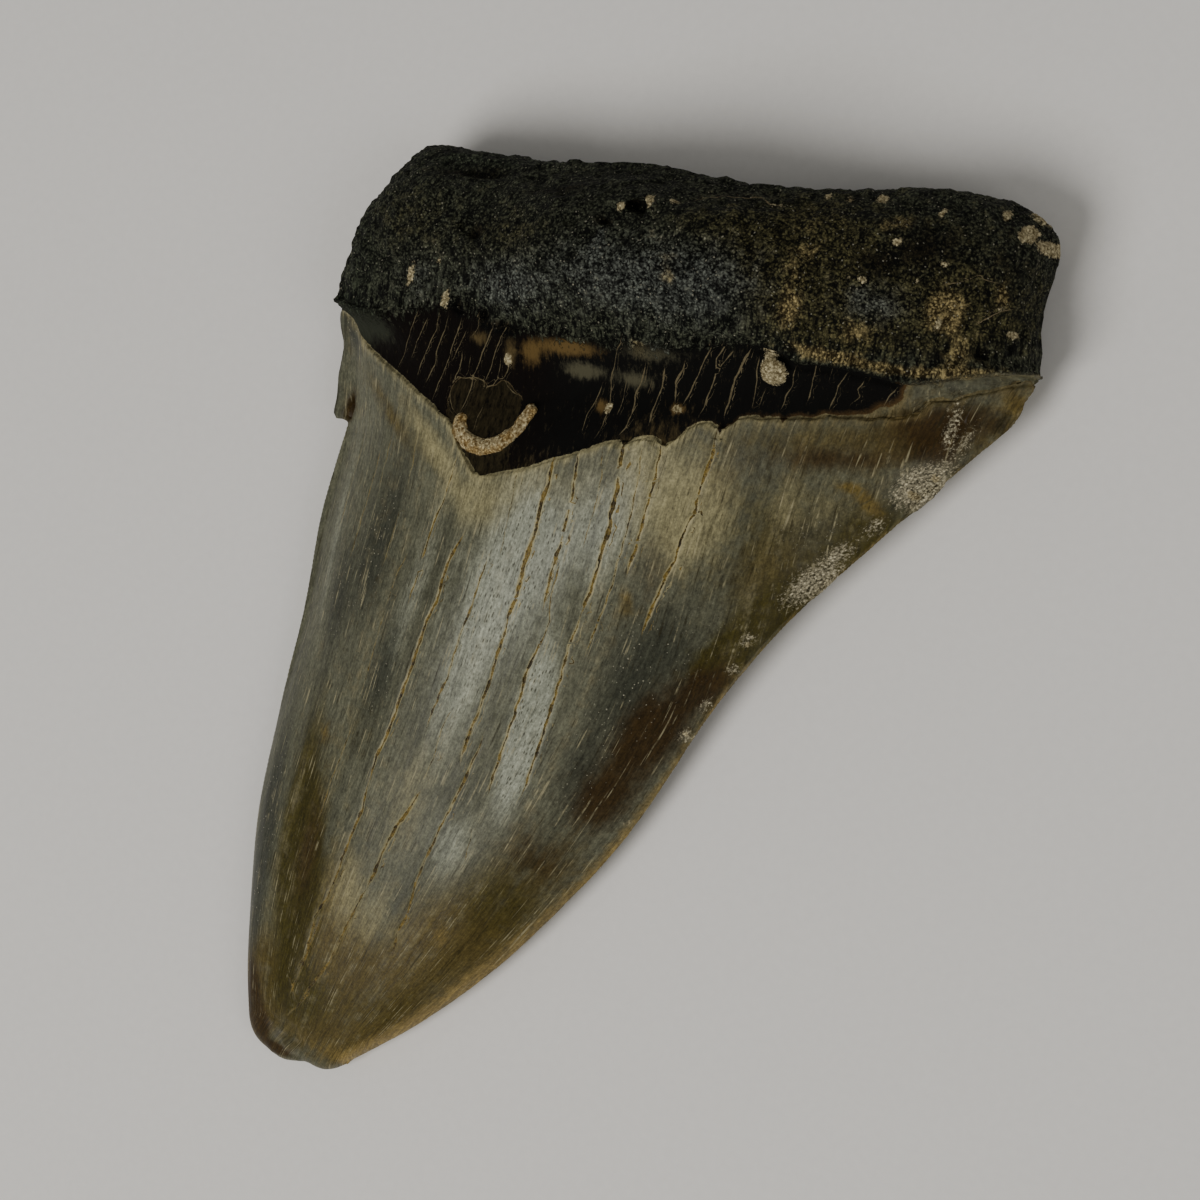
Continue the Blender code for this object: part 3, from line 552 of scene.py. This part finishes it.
def spacing_at(places, normals):
    """How fine the mesh has to be at each place."""
    x, y, _ = places.T
    on_top = normals[:, 2] > -0.05
    wanted = np.full(len(places), SPACING["underside"])
    root = y > height_of(ROOT_LINE, x) - 1.0
    wanted[on_top & ~root] = SPACING["crown"]
    wanted[root & (normals[:, 2] > -0.3)] = SPACING["root"]
    band = (y < height_of(RAGGED_ROOT, x) + 0.8) & (y > height_of(RAGGED_ENAMEL, x) - 0.6)
    wanted[on_top & band] = SPACING["band"]
    crown = on_top & (y < height_of(ENAMEL_LINE, x) + 1.0)
    gap, width = cracks_at(places, ENAMEL_CRACKS, 0.6)
    wanted[crown & (width > 0) & (np.abs(gap) < 0.4)] = SPACING["crack"]
    for line in (LEFT_EDGE, RIGHT_EDGE, TIP_EDGE):
        gap, _ = beside(places, line)
        wanted[(np.abs(gap) < 0.5) & (normals[:, 2] > -0.7) & crown] = SPACING["edge"]
    gap, _ = beside(places, WORM_TUBE)
    wanted[on_top & (np.abs(gap) < TUBE_HALF_WIDTHS[0] + 0.3)] = SPACING["tube"]
    for name, ovals, margin in (("scar", SCARS, 0.4), ("clay", CLAY_SPECKS, 0.3)):
        for x, y, across, along, turned in ovals:
            near = inside(places, x, y, across + margin, along + margin, turned) > 0
            wanted[on_top & near] = SPACING[name]
    return wanted


# The neighbourhood of each smooth line is drawn to the ragged one, up to a reach in millimetres
places, normals = shape_of(tooth)
above = ease(normals[:, 2], -0.3, 0.3)
for smooth_line, ragged_line, reach in ((ENAMEL_LINE, RAGGED_ENAMEL, 3.2),
                                        (ROOT_LINE, RAGGED_ROOT, 2.8)):
    x, y = places[:, 0], places[:, 1]
    smooth_y = height_of(smooth_line, x)
    drawn = above * (height_of(ragged_line, x) - smooth_y)
    places[:, 1] += drawn * (1 - ease(np.abs(y - smooth_y), 0, reach))
put(tooth, places)
refine(tooth, spacing_at)
bpy.ops.object.mode_set(mode="EDIT")
bpy.ops.mesh.select_all(action="SELECT")
bpy.ops.mesh.quads_convert_to_tris()
bpy.ops.object.mode_set(mode="OBJECT")


def past(places, line):
    """Distance from a line across the tooth, below 0 on the tip's side of it."""
    gap, _ = beside(places, line)
    return np.abs(gap) * np.sign(places[:, 1] - height_of(line, places[:, 0]))


# What lies where, as distances that the material draws sharply
places, normals = shape_of(tooth)
above = ease(normals[:, 2], -0.2, 0.2)
waved = waver(places, 1.3, 0.16)
past_enamel, past_root = past(places, RAGGED_ENAMEL), past(places, RAGGED_ROOT)
past_enamel -= 1.9 * ease(places[:, 0], 27.0, 38.0) * (past_enamel > 0)
crack, crack_width = cracks_at(waved, ENAMEL_CRACKS, 0.6)
vein, vein_width = cracks_at(waved, BAND_CRACKS, 0.42)
crack_width *= above
vein_width *= above
edge = np.abs(beside(places, RIGHT_EDGE)[0])
gap, share = beside(waver(places, 0.8, 0.25), WORM_TUBE)
from_tube = np.abs(gap) - np.interp(share, (0, 1), TUBE_HALF_WIDTHS)
gap, _ = beside(waver(places, 0.9, 0.2), PLATE_RIM)
below_rim = places[:, 1] < height_of(PLATE_RIM, places[:, 0])
between = (places[:, 0] > PLATE_RIM[0][0]) & (places[:, 0] < PLATE_RIM[-1][0])
plate = np.clip(np.abs(gap) * np.where(below_rim & between, 1, -1), -2.0, 6.0)
speck, scar = (np.max([inside(places, *oval) * min(oval[2:4]) for oval in ovals], axis=0)
               for ovals in (CLAY_SPECKS, SCARS))
stains_and_painted_light = {name: sum(strength * np.exp(-1.2 * (1 - inside(places, *oval)) ** 2)
                    for *oval, strength in ovals)
          for name, ovals in STAINS_AND_PAINTED_LIGHT.items()}

# Relief along the normal, in millimetres: the root is lumpy and sinks a little, the enamel has
# growth lines, the band a fine grain, and both have cracks
LUMPS, CRUMBS, WRINKLES, ROOT_SINKS = 0.34, 0.3, 0.3, 0.3
GROWTH_LINES, BAND_GRAIN, CRACK_DEPTH, VEIN_DEPTH = 0.05, 0.09, 0.1, 0.07
on_root = ease(past_root, -0.1, 0.5)
on_enamel = ease(-past_enamel, -0.1, 0.2)
relief = np.zeros(len(places))
part = np.flatnonzero(past_root > -0.3)
lumps = LUMPS * rough(places[part], 3.2, 2) + CRUMBS * rough(places[part], 1.1, 2)
wrinkles = WRINKLES * rough(places[part] * (1, 0.3, 1), 1.0, 2)
wrinkles *= 1 - ease(past_root[part], 1.0, 9.0)
relief[part] += on_root[part] * (lumps + wrinkles - ROOT_SINKS)
part = np.flatnonzero(past_enamel < 0.3)
relief[part] += GROWTH_LINES * on_enamel[part] * rough(places[part] * (1, 0.12, 0.5), 1.4, 2)
part = np.flatnonzero((past_root < 0.5) & (past_enamel > -0.3))
x, y, z = places[part].T
relief[part] += BAND_GRAIN * rough(np.column_stack((x - 0.3 * y, 0.3 * y, z)), 0.7, 2)
groove = np.clip(crack_width / 0.1, 0, 1.3) * np.exp(-(crack / 0.18) ** 2)
relief -= CRACK_DEPTH * groove * on_enamel
groove = np.clip(vein_width / 0.07, 0, 1.3) * np.exp(-(vein / 0.16) ** 2)
relief -= VEIN_DEPTH * groove

# The root's lip stands over a gap that deepens to the right, the band's top layer is a thin
# step, and both ragged lines have a fringe
LIP_GAP, LIP, LAYER, ROOT_FRINGE, ENAMEL_FRINGE = 0.55, 0.3, 0.14, 0.24, 0.1
x = places[:, 0]
relief -= LIP_GAP * above * np.exp(-((past_root + 0.45) / 0.4) ** 2) * ease(x, 10.0, 22.0)
relief += LIP * above * np.exp(-((past_root - 0.5) / 0.5) ** 2) * ease(x, 16.0, 24.0)
peeled = LAYER * above * ease(plate, -0.05, 0.12) * (1 - ease(plate, 1.5, 4.0))
relief -= peeled * (past_enamel > 0)
fringe = ROOT_FRINGE * np.exp(-(past_root / 0.9) ** 2) * (1 - ease(x, 12.0, 20.0))
fringe += ENAMEL_FRINGE * np.exp(-(past_enamel / 0.5) ** 2)
part = np.flatnonzero((fringe > 0.02) & (above > 0))
relief[part] += fringe[part] * rough(places[part] * (1.2, 0.3, 1), 0.8, 2)

# Furrows, pits and nicks
for half_width, depth, line in ROOT_FURROWS:
    gap, share = beside(waved, line)
    fading = np.minimum(1, 6 * np.minimum(share, 1 - share) + 0.1)
    relief -= depth * above * np.exp(-(gap / half_width) ** 2) * fading
for *oval, depth in ROOT_PITS:
    relief -= depth * above * ease(1.3 * inside(waved, *oval))
for *oval, depth in NICKS:
    relief -= depth * ease(1.2 * inside(waved, *oval))

# Clay, scars and worm tube: where each starts and ends, its height and that of its grain
part = (speck > -0.2) | (scar > -0.5) | (from_tube < 0.2)
part &= normals[:, 2] > -0.2
grit = np.zeros(len(places))
grit[part] = rough(places[part], 0.5, 2)
for source, start, end, height, grain in (
        (speck, -0.05, 0.2, 0.04, 0.1), (scar, -0.3, 0.4, -0.12, 0.05),
        (-from_tube, -0.05, 0.3, 0.22, 0.12)):
    relief += above * ease(source, start, end) * (height + grain * grit)
# The underside only sinks, and half as far, so that it still lies flat
relief = np.where(normals[:, 2] < -0.3, np.minimum(relief, 0) * 0.5, relief)
places += normals * relief[:, None]

# Worn serrations: small scallops along both cutting edges
SERRATION, SERRATION_DEPTH = 0.58, 0.14
for line, inwards in ((LEFT_EDGE, 1), (RIGHT_EDGE, -1)):
    gap, share = beside(places, line)
    length = sum(math.dist(a, b) for a, b in zip(line, line[1:]))
    worn = 0.5 + 0.5 * rough(np.column_stack((share * length, share * 0, share * 0)), 6.0, 1)
    tooth_edge = np.clip(1 - np.abs(gap) / 0.55, 0, 1) * (past_enamel < -0.3)
    scallop = 0.5 + 0.5 * np.cos(2 * math.pi * share * length / SERRATION)
    places[:, 0] += inwards * SERRATION_DEPTH * scallop * worn * tooth_edge

# Clay fills the lower half of the foramen, a little below the plane of the bone around it
FORAMEN, FORAMEN_RADIUS, FORAMEN_CLAY, CLAY_BELOW = (2.9, 50.2), 2.3, (2.9, 49.2, 1.8, 0.9), 0.1
x, y = places[:, 0], places[:, 1]
ring = np.abs(np.hypot(x - FORAMEN[0], y - FORAMEN[1]) - FORAMEN_RADIUS) < 0.5
ring &= normals[:, 2] > 0
level = np.column_stack((x, y, x**0))
plane = np.linalg.lstsq(level[ring], places[ring, 2], rcond=None)[0]
share = above * ease(2.5 * inside(places, *FORAMEN_CLAY))
places[:, 2] += share * (level @ plane - CLAY_BELOW - places[:, 2])
for x, y, reach, across, along in FLAP:
    share = np.exp(-((places[:, 0] - x) ** 2 + (places[:, 1] - y) ** 2) / reach**2)
    places[:, 0] += across * share
    places[:, 1] += along * share

# Nothing stands out of the solid's box
low, high = (np.array(corner) / MM for corner in cad_box)
places = np.clip(places, low, high)
put(tooth, places)

# The material reads every measure from the mesh, with the growth lines' own coordinate
up = (places[:, 1] - 20) / 70
fibre = places[:, 0] - np.polyval(GROWTH_MIDDLE, up)
fibre /= np.maximum(np.polyval(GROWTH_SPREAD, up), 0.4)
measures = {"past_enamel": past_enamel, "past_root": past_root, "crack": crack,
            "crack_width": crack_width, "vein": vein, "vein_width": vein_width, "edge": edge,
            "from_tube": from_tube, "speck": speck, "scar": scar, "plate": plate, "fibre": fibre,
            **stains_and_painted_light}
for name, values in measures.items():
    attribute = tooth.data.attributes.new(name, "FLOAT", "POINT")
    attribute.data.foreach_set("value", values.astype(np.float32))

# Fossil enamel, dentine and bone, grown by the shark and turned to stone in mud: glassy and
# streaked on the crown, dull and sugary on the root, and stained wherever minerals soaked in. Some
# of its colour is painted light: sheen, glints and shade.
# Inputs by number: MapRange takes 0 from between 1 and 2 to between 3 and 4, Mix has a share 0,
# values 2 and 3 or colours 6 and 7, and TIMES_PLUS is 0 times 1, plus 2.
SOFT = {"interpolation_type": "SMOOTHSTEP"}
RGBA, VALUES = {"data_type": "RGBA"}, {"data_type": "FLOAT"}
TIMES, MINUS = {"operation": "MULTIPLY"}, {"operation": "SUBTRACT"}
TIMES_PLUS = {"operation": "MULTIPLY_ADD"}
fossil, tree = blank_material("fossil enamel and bone")
metres = add("TexCoord", {}).outputs["Object"]
in_mm = add("VectorMath", {0: metres, 3: 1 / MM}, operation="SCALE")
split = add("SeparateXYZ", {0: in_mm})
x, y = split.outputs["X"], split.outputs["Y"]
field = {name: add("Attribute", {}, attribute_name=name).outputs["Fac"] for name in measures}

# Enamel grows in fibres a few hundredths of a millimetre wide, drawn here ten times wider so
# that they show. Its own coordinates run across the growth lines and along them.
grown = add("CombineXYZ", {0: field["fibre"], 1: y, 2: split.outputs["Z"]})
drawn_out = {name: add("VectorMath", {0: grown, 1: (1.0, along, 0.1)}, **TIMES)
             for name, along in (("long", 0.04), ("short", 0.3), ("pitted", 0.4))}
shift = add("TexNoise", {"Vector": in_mm, "Scale": 1.2, "Detail": 2.0}).outputs["Color"]
bent = add("VectorMath", {0: shift, 1: (0.5, 0.5, 0.5), 2: in_mm}, **TIMES_PLUS)
downwards = add("VectorMath", {0: bent, 1: (1.0, 0.25, 1.0)}, **TIMES)

# Noise patterns: coordinates, lumps in a millimetre, octaves, roughness
PATTERNS = {
    "clouds": (in_mm, 0.14, 3.0, 0.6), "mottling": (in_mm, 0.6, 4.0, 0.65),
    "speckle": (in_mm, 3.2, 3.0, 0.7), "grit": (in_mm, 2.6, 4.0, 0.75),
    "width": (in_mm, 0.55, 3.0, 0.6), "streaks": (drawn_out["long"], 0.4, 3.0, 0.6),
    "fibres": (drawn_out["long"], 1.8, 3.0, 0.65), "threads": (drawn_out["short"], 2.8, 2.0, 0.8),
    "scratches": (drawn_out["long"], 3.4, 1.0, 0.5), "sugar": (bent, 2.2, 5.0, 0.75),
    "wrinkles": (downwards, 2.0, 4.0, 0.75),
}
pattern = {name: add("TexNoise", {"Vector": vector, "Scale": scale, "Detail": octaves,
                                  "Roughness": roughness})
           for name, (vector, scale, octaves, roughness) in PATTERNS.items()}
# Cell patterns: specks, pores and crystals, as coordinates and cells in a millimetre
dots, pores, sand = (add("TexVoronoi", {"Vector": vector, "Scale": scale}) for vector, scale
                     in ((bent, 2.1), (drawn_out["pitted"], 3.2), (bent, 2.9)))


def stained_and_painted_light(coat, breaks, strength, start, end, stains_and_painted_light):
    """A coat with soft patches of colour, broken up by a pattern. A patch is a name, a colour and a
    share; the pale ones are partly painted sheen.
    """
    for name, colour, share in stains_and_painted_light:
        broken = add("Math", {0: breaks, 1: strength, 2: field[name]}, **TIMES_PLUS)
        mask = add("MapRange", {0: broken, 1: start, 2: end, 4: share}, **SOFT)
        coat = add("Mix", {0: mask, 6: coat, 7: colour}, **RGBA)
    return coat


# Enamel: a grey glassy skin with soft stains, and a pale band along its crest that is partly a
# painted highlight
enamel = add("Mix", {0: pattern["clouds"], 6: "4A4B3C", 7: "656553"}, **RGBA)
break_up = add("Mix", {0: 0.5, 2: pattern["streaks"], 3: pattern["mottling"]}, **VALUES)
enamel = stained_and_painted_light(enamel, break_up, 1.4, 0.7, 1.65, (
    ("umber", "4E421C", 0.9), ("slate", "34362C", 0.9), ("olive", "3A340E", 0.95),
    ("tan", "8C8562", 0.85), ("pale", "8F9282", 0.95), ("brown", "32240D", 0.95),
    ("amber", "64552B", 0.9)))
# The worn rim of the long cutting edge, tan and widest at the tip
narrowing = add("MapRange", {0: y, 1: -45.0, 2: 10.0, 3: -0.2, 4: 0.8})
ragged = add("Math", {0: pattern["mottling"], 1: -1.2, 2: field["edge"]}, **TIMES_PLUS)
ragged = add("Math", {0: ragged, 1: narrowing}, operation="ADD")
mask = add("MapRange", {0: ragged, 1: 0.7, 2: -0.8, 4: 0.75}, **SOFT)
enamel = add("Mix", {0: mask, 6: enamel, 7: "8C7846"}, **RGBA)
# The enamel's edge at the root end is thin and cream, and browner towards the right
ragged = add("Math", {0: pattern["fibres"], 1: 2.4, 2: field["past_enamel"]}, **TIMES_PLUS)
mask = add("MapRange", {0: ragged, 1: -0.1, 2: 1.3, 4: 0.6}, **SOFT)
to_right = add("MapRange", {0: x, 1: 15.0, 2: 24.0})
cream = add("Mix", {0: to_right, 6: "A0966E", 7: "6C5F3C"}, **RGBA)
enamel = add("Mix", {0: mask, 6: enamel, 7: cream}, **RGBA)
# Lighter and darker growth lines, each as the pattern and how far it darkens and lightens
for name, dark, light in (("streaks", 0.84, 1.17), ("fibres", 0.8, 1.22), ("threads", 0.62, 1.42),
                          ("speckle", 0.74, 1.32)):
    tone = add("MapRange", {0: pattern[name], 1: 0.3, 2: 0.7, 3: dark, 4: light})
    enamel = add("Mix", {0: 1.0, 6: enamel, 7: tone}, blend_type="MULTIPLY", **RGBA)
# Fine scratches along the growth lines: where the pattern starts and ends, colour
patchy = add("MapRange", {0: pattern["mottling"], 1: 0.42, 2: 0.58, 4: 0.65})
for start, end, code in ((0.36, 0.3, "2A2511"), (0.64, 0.72, "A8A07E")):
    mask = add("MapRange", {0: pattern["scratches"], 1: start, 2: end, 4: patchy})
    enamel = add("Mix", {0: mask, 6: enamel, 7: code}, **RGBA)
# Pores in the pale parts and white specks in the dark ones, 0.1 to 0.2 mm wide
for texture, radius, kept, where, code in ((pores, 0.4, 0.42, "pale", "2C281B"),
                                           (dots, 0.2, 0.5, "slate", "B9B49E")):
    dot = add("MapRange", {0: texture.outputs["Distance"], 1: radius, 2: radius * 0.5})
    chosen = add("MapRange", {0: texture.outputs["Color"], 1: kept, 2: kept + 0.1})
    near = add("MapRange", {0: field[where], 1: 0.1, 2: 0.9, 4: 0.75})
    dot = add("Math", {0: dot, 1: chosen}, **TIMES)
    dot = add("Math", {0: dot, 1: near}, **TIMES)
    enamel = add("Mix", {0: dot, 6: enamel, 7: code}, **RGBA)


def filled(name, crumbling, thin, thick):
    """How deep inside the fill of a crack it is, and its crumbling distance from the crack."""
    away = add("Math", {0: field[name]}, operation="ABSOLUTE")
    ragged = add("Math", {0: pattern["grit"], 1: crumbling, 2: away}, **TIMES_PLUS)
    width = add("MapRange", {0: pattern["width"], 1: 0.35, 2: 0.68, 3: thin, 4: thick})
    width = add("Math", {0: width, 1: field[name + "_width"]}, **TIMES)
    return add("Math", {0: width, 1: ragged}, **MINUS), ragged


# Cracks: a bleached border, and a fill of clay whose width and colour change along the crack
line, ragged = filled("crack", 0.24, 0.5, 2.2)
border = add("Math", {0: field["crack_width"], 1: 2.6}, **TIMES)
border = add("Math", {0: border, 1: ragged}, **MINUS)
bleached = add("MapRange", {0: y, 1: -18.0, 2: -34.0, 3: 0.65, 4: 0.2})
mask = add("MapRange", {0: border, 1: -0.14, 2: 0.08, 4: bleached}, **SOFT)
enamel = add("Mix", {0: mask, 6: enamel, 7: "B5AB80"}, **RGBA)
fill = add("MapRange", {0: pattern["mottling"], 1: 0.38, 2: 0.58}, **SOFT)
ochre = add("Mix", {0: fill, 6: "33290F", 7: "806C33"}, **RGBA)
fill = add("MapRange", {0: pattern["grit"], 1: 0.32, 2: 0.54})
fill = add("Mix", {0: fill, 6: "1C160A", 7: ochre}, **RGBA)
mask = add("MapRange", {0: line, 1: -0.12, 2: -0.06}, **SOFT)
enamel = add("Mix", {0: mask, 6: enamel, 7: fill}, **RGBA)

# The band: bare dentine, black on the right, red-brown and dusty on the left
dentine = add("Mix", {0: pattern["sugar"], 6: "010101", 7: "0A0906"}, **RGBA)
leftwards = add("MapRange", {0: x, 1: -3.0, 2: -11.0, 4: 0.8}, **SOFT)
dusty = add("Mix", {0: pattern["wrinkles"], 6: "030101", 7: "130C07"}, **RGBA)
dentine = add("Mix", {0: leftwards, 6: dentine, 7: dusty}, **RGBA)
# Its stains, with a pale patch in the middle that is a painted sheen
dentine = stained_and_painted_light(dentine, pattern["wrinkles"], 1.6, 0.95, 1.75, (
    ("slate", "2C2F25", 1.0), ("tan", "5E5032", 0.8), ("amber", "66522E", 0.9),
    ("pale", "55523F", 0.85), ("brown", "010101", 0.95)))
# Brown dust lies along the foot of the band, wider towards the right corner
reach = add("MapRange", {0: x, 1: -8.0, 2: 34.0, 3: -0.9, 4: 0.3})
ragged = add("Math", {0: pattern["sugar"], 1: -1.2, 2: field["past_enamel"]}, **TIMES_PLUS)
ragged = add("Math", {0: ragged, 1: reach}, **MINUS)
mask = add("MapRange", {0: ragged, 1: 0.0, 2: -0.9, 4: 0.85}, **SOFT)
dust = add("Mix", {0: pattern["grit"], 6: "1C1206", 7: "6A5230"}, **RGBA)
dentine = add("Mix", {0: mask, 6: dentine, 7: dust}, **RGBA)
# Where the top layer has peeled away the dentine is matt and grey-brown, with a pale torn rim
mask = add("MapRange", {0: field["plate"], 1: -0.02, 2: 0.05})
matt = add("MapRange", {0: pattern["wrinkles"], 1: 0.35, 2: 0.7})
matt = add("Mix", {0: matt, 6: "020100", 7: "352E1C"}, **RGBA)
dentine = add("Mix", {0: mask, 6: dentine, 7: matt}, **RGBA)
away = add("Math", {0: field["plate"]}, operation="ABSOLUTE")
ragged = add("Math", {0: pattern["grit"], 1: 0.2, 2: away}, **TIMES_PLUS)
mask = add("MapRange", {0: ragged, 1: 0.17, 2: 0.1, 4: 0.6}, **SOFT)
dentine = add("Mix", {0: mask, 6: dentine, 7: "6B5D40"}, **RGBA)
# Its cracks are filled with pale dust, in beads
line, _ = filled("vein", 0.12, 0.4, 1.5)
veins = add("MapRange", {0: line, 1: -0.08, 2: -0.02, 4: 0.9}, **SOFT)
vein_dust = add("Mix", {0: pattern["speckle"], 6: "2A2213", 7: "8E8262"}, **RGBA)
dentine = add("Mix", {0: veins, 6: dentine, 7: vein_dust}, **RGBA)

# The root: bone turned to near-black stone, a crust of fine crystals with dark crevices. Its colour
# follows the height of the grain, and each crystal is painted lighter at its middle and darker at
# its edges, painted shade that rounds it.
near_band = add("MapRange", {0: field["past_root"], 1: 8.0, 2: 1.0}, **SOFT)
height = add("Mix", {0: near_band, 2: pattern["sugar"], 3: pattern["wrinkles"]}, **VALUES)
painted_grain_shade = add("MapRange", {0: sand.outputs["Distance"], 1: 0.55, 2: 0.25, 4: 0.2})
lit = add("MapRange", {0: sand.outputs["Color"], 1: 0.2, 2: 0.8, 3: 0.35})
grain = add("Math", {0: painted_grain_shade, 1: lit}, **TIMES)
height = add("Math", {0: pattern["mottling"], 1: 0.35, 2: height}, **TIMES_PLUS)
height = add("Math", {0: height, 1: grain}, operation="ADD")
bone_light = add("MapRange", {0: height, 1: 0.6, 2: 1.0}, **SOFT)
# The colours of its crevices and crystals: plain, in each stain, and in the pale patches of painted
# sparkle
plain, slate, olive, pale, tan, brown = (
    add("Mix", {0: bone_light, 6: dark, 7: light}, **RGBA) for dark, light in
    (("030402", "585C4A"), ("070906", "525B49"), ("060602", "6E6842"), ("080908", "7E837A"),
     ("2A220F", "C8B47C"), ("010100", "2C2619")))
bone = stained_and_painted_light(plain, pattern["mottling"], 1.6, 0.95, 1.85, (
    ("slate", slate, 0.85), ("olive", olive, 0.85), ("pale", pale, 0.9), ("tan", tan, 0.95),
    ("brown", brown, 0.95)))
bone = add("Mix", {0: veins, 6: bone, 7: "85775A"}, **RGBA)
# Painted glints: single crystals in it are painted near-white where light would glint off them
painted_glint = add("MapRange", {0: dots.outputs["Distance"], 1: 0.24, 2: 0.12, 4: 0.6})
chosen = add("MapRange", {0: dots.outputs["Color"], 1: 0.6, 2: 0.75})
painted_glint = add("Math", {0: painted_glint, 1: chosen}, **TIMES)
bone = add("Mix", {0: painted_glint, 6: bone, 7: "B4B09A"}, **RGBA)

# Clay and lime that stuck to the tooth, and spalled enamel, which breaks into bright grains. Their
# grains take the painted shade and sparkle of the root's crystals, mixed with grit.
bright = add("Math", {0: grain, 1: 1.5, 2: pattern["grit"]}, **TIMES_PLUS)
bright = add("MapRange", {0: bright, 1: 0.4, 2: 0.86})
crust, clay, spall, rust = (
    add("Mix", {0: bright, 6: dark, 7: light}, **RGBA) for dark, light in
    (("5E4822", "E2D4A8"), ("5A4E32", "D8CCA4"), ("2E2A1A", "E4DAB8"), ("5E4416", "C09A52")))
rusty = add("MapRange", {0: pattern["mottling"], 1: 0.45, 2: 0.6, 4: 0.6}, **SOFT)
crust = add("Mix", {0: rusty, 6: crust, 7: rust}, **RGBA)

# The root's lower edge is frayed on the left, where it grows into the band, and firm on the right
firm = add("MapRange", {0: x, 1: 0.0, 2: 20.0, 3: 8.0, 4: 1.5})
frayed = add("Math", {0: pattern["wrinkles"], 1: 0.5}, **MINUS)
frayed = add("Math", {0: frayed, 1: firm, 2: field["past_root"]}, **TIMES_PLUS)
firm = add("MapRange", {0: x, 1: 0.0, 2: 20.0, 3: -1.0, 4: -0.15})

# What lies over what: how ragged its outline is, its distance, where it starts and ends, colour
is_over = {}
colour = enamel
for name, ragged, source, start, end, coat in (
        ("spall", 3.2, field["scar"], 1.4, 2.2, spall),
        ("band", 0.4, field["past_enamel"], 0.15, 0.27, dentine),
        ("root", 0.0, frayed, firm, 0.35, bone),
        ("clay", 1.0, field["speck"], 0.5, 0.65, clay)):
    broken = add("Math", {0: pattern["grit"], 1: ragged, 2: source}, **TIMES_PLUS)
    is_over[name] = add("MapRange", {0: broken, 1: start, 2: end}, **SOFT)
    colour = add("Mix", {0: is_over[name], 6: colour, 7: coat}, **RGBA)
broken = add("Math", {0: pattern["grit"], 1: 0.3, 2: field["from_tube"]}, **TIMES_PLUS)
is_over["crust"] = add("MapRange", {0: broken, 1: 0.2, 2: 0.12})
colour = add("Mix", {0: is_over["crust"], 6: colour, 7: crust}, **RGBA)

# Polish and fine relief of each, the relief in millimetres
polish = add("MapRange", {0: pattern["fibres"], 1: 0.3, 2: 0.7, 3: 0.34, 4: 0.52})
dull = add("MapRange", {0: leftwards, 1: 0.0, 2: 0.8, 3: 0.85, 4: 0.95})
fine, wrinkled, crusty, grainy = (
    add("Math", {0: source, 1: depth}, **TIMES) for source, depth in
    ((pattern["fibres"], 0.03), (pattern["wrinkles"], 0.1), (height, 0.35), (bright, 0.07)))
fine = add("Math", {0: pattern["speckle"], 1: 0.03, 2: fine}, **TIMES_PLUS)
for name, gloss, lift in (("spall", 0.4, grainy), ("band", dull, wrinkled), ("root", 0.8, crusty),
                          ("clay", 0.9, grainy), ("crust", 0.9, grainy)):
    polish = add("Mix", {0: is_over[name], 2: polish, 3: gloss}, **VALUES)
    fine = add("Mix", {0: is_over[name], 2: fine, 3: lift}, **VALUES)
surface = add("Bump", {"Height": fine, "Distance": MM, "Strength": 1.0})
shader = add("BsdfPrincipled", {"Base Color": colour, "Roughness": polish, "IOR": 1.6,
                                "Specular IOR Level": 0.1, "Normal": surface})
add("OutputMaterial", {"Surface": shader})
tooth.data.materials.append(fossil)
tooth.data.shade_smooth()

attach(tooth, "root")
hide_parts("tooth")
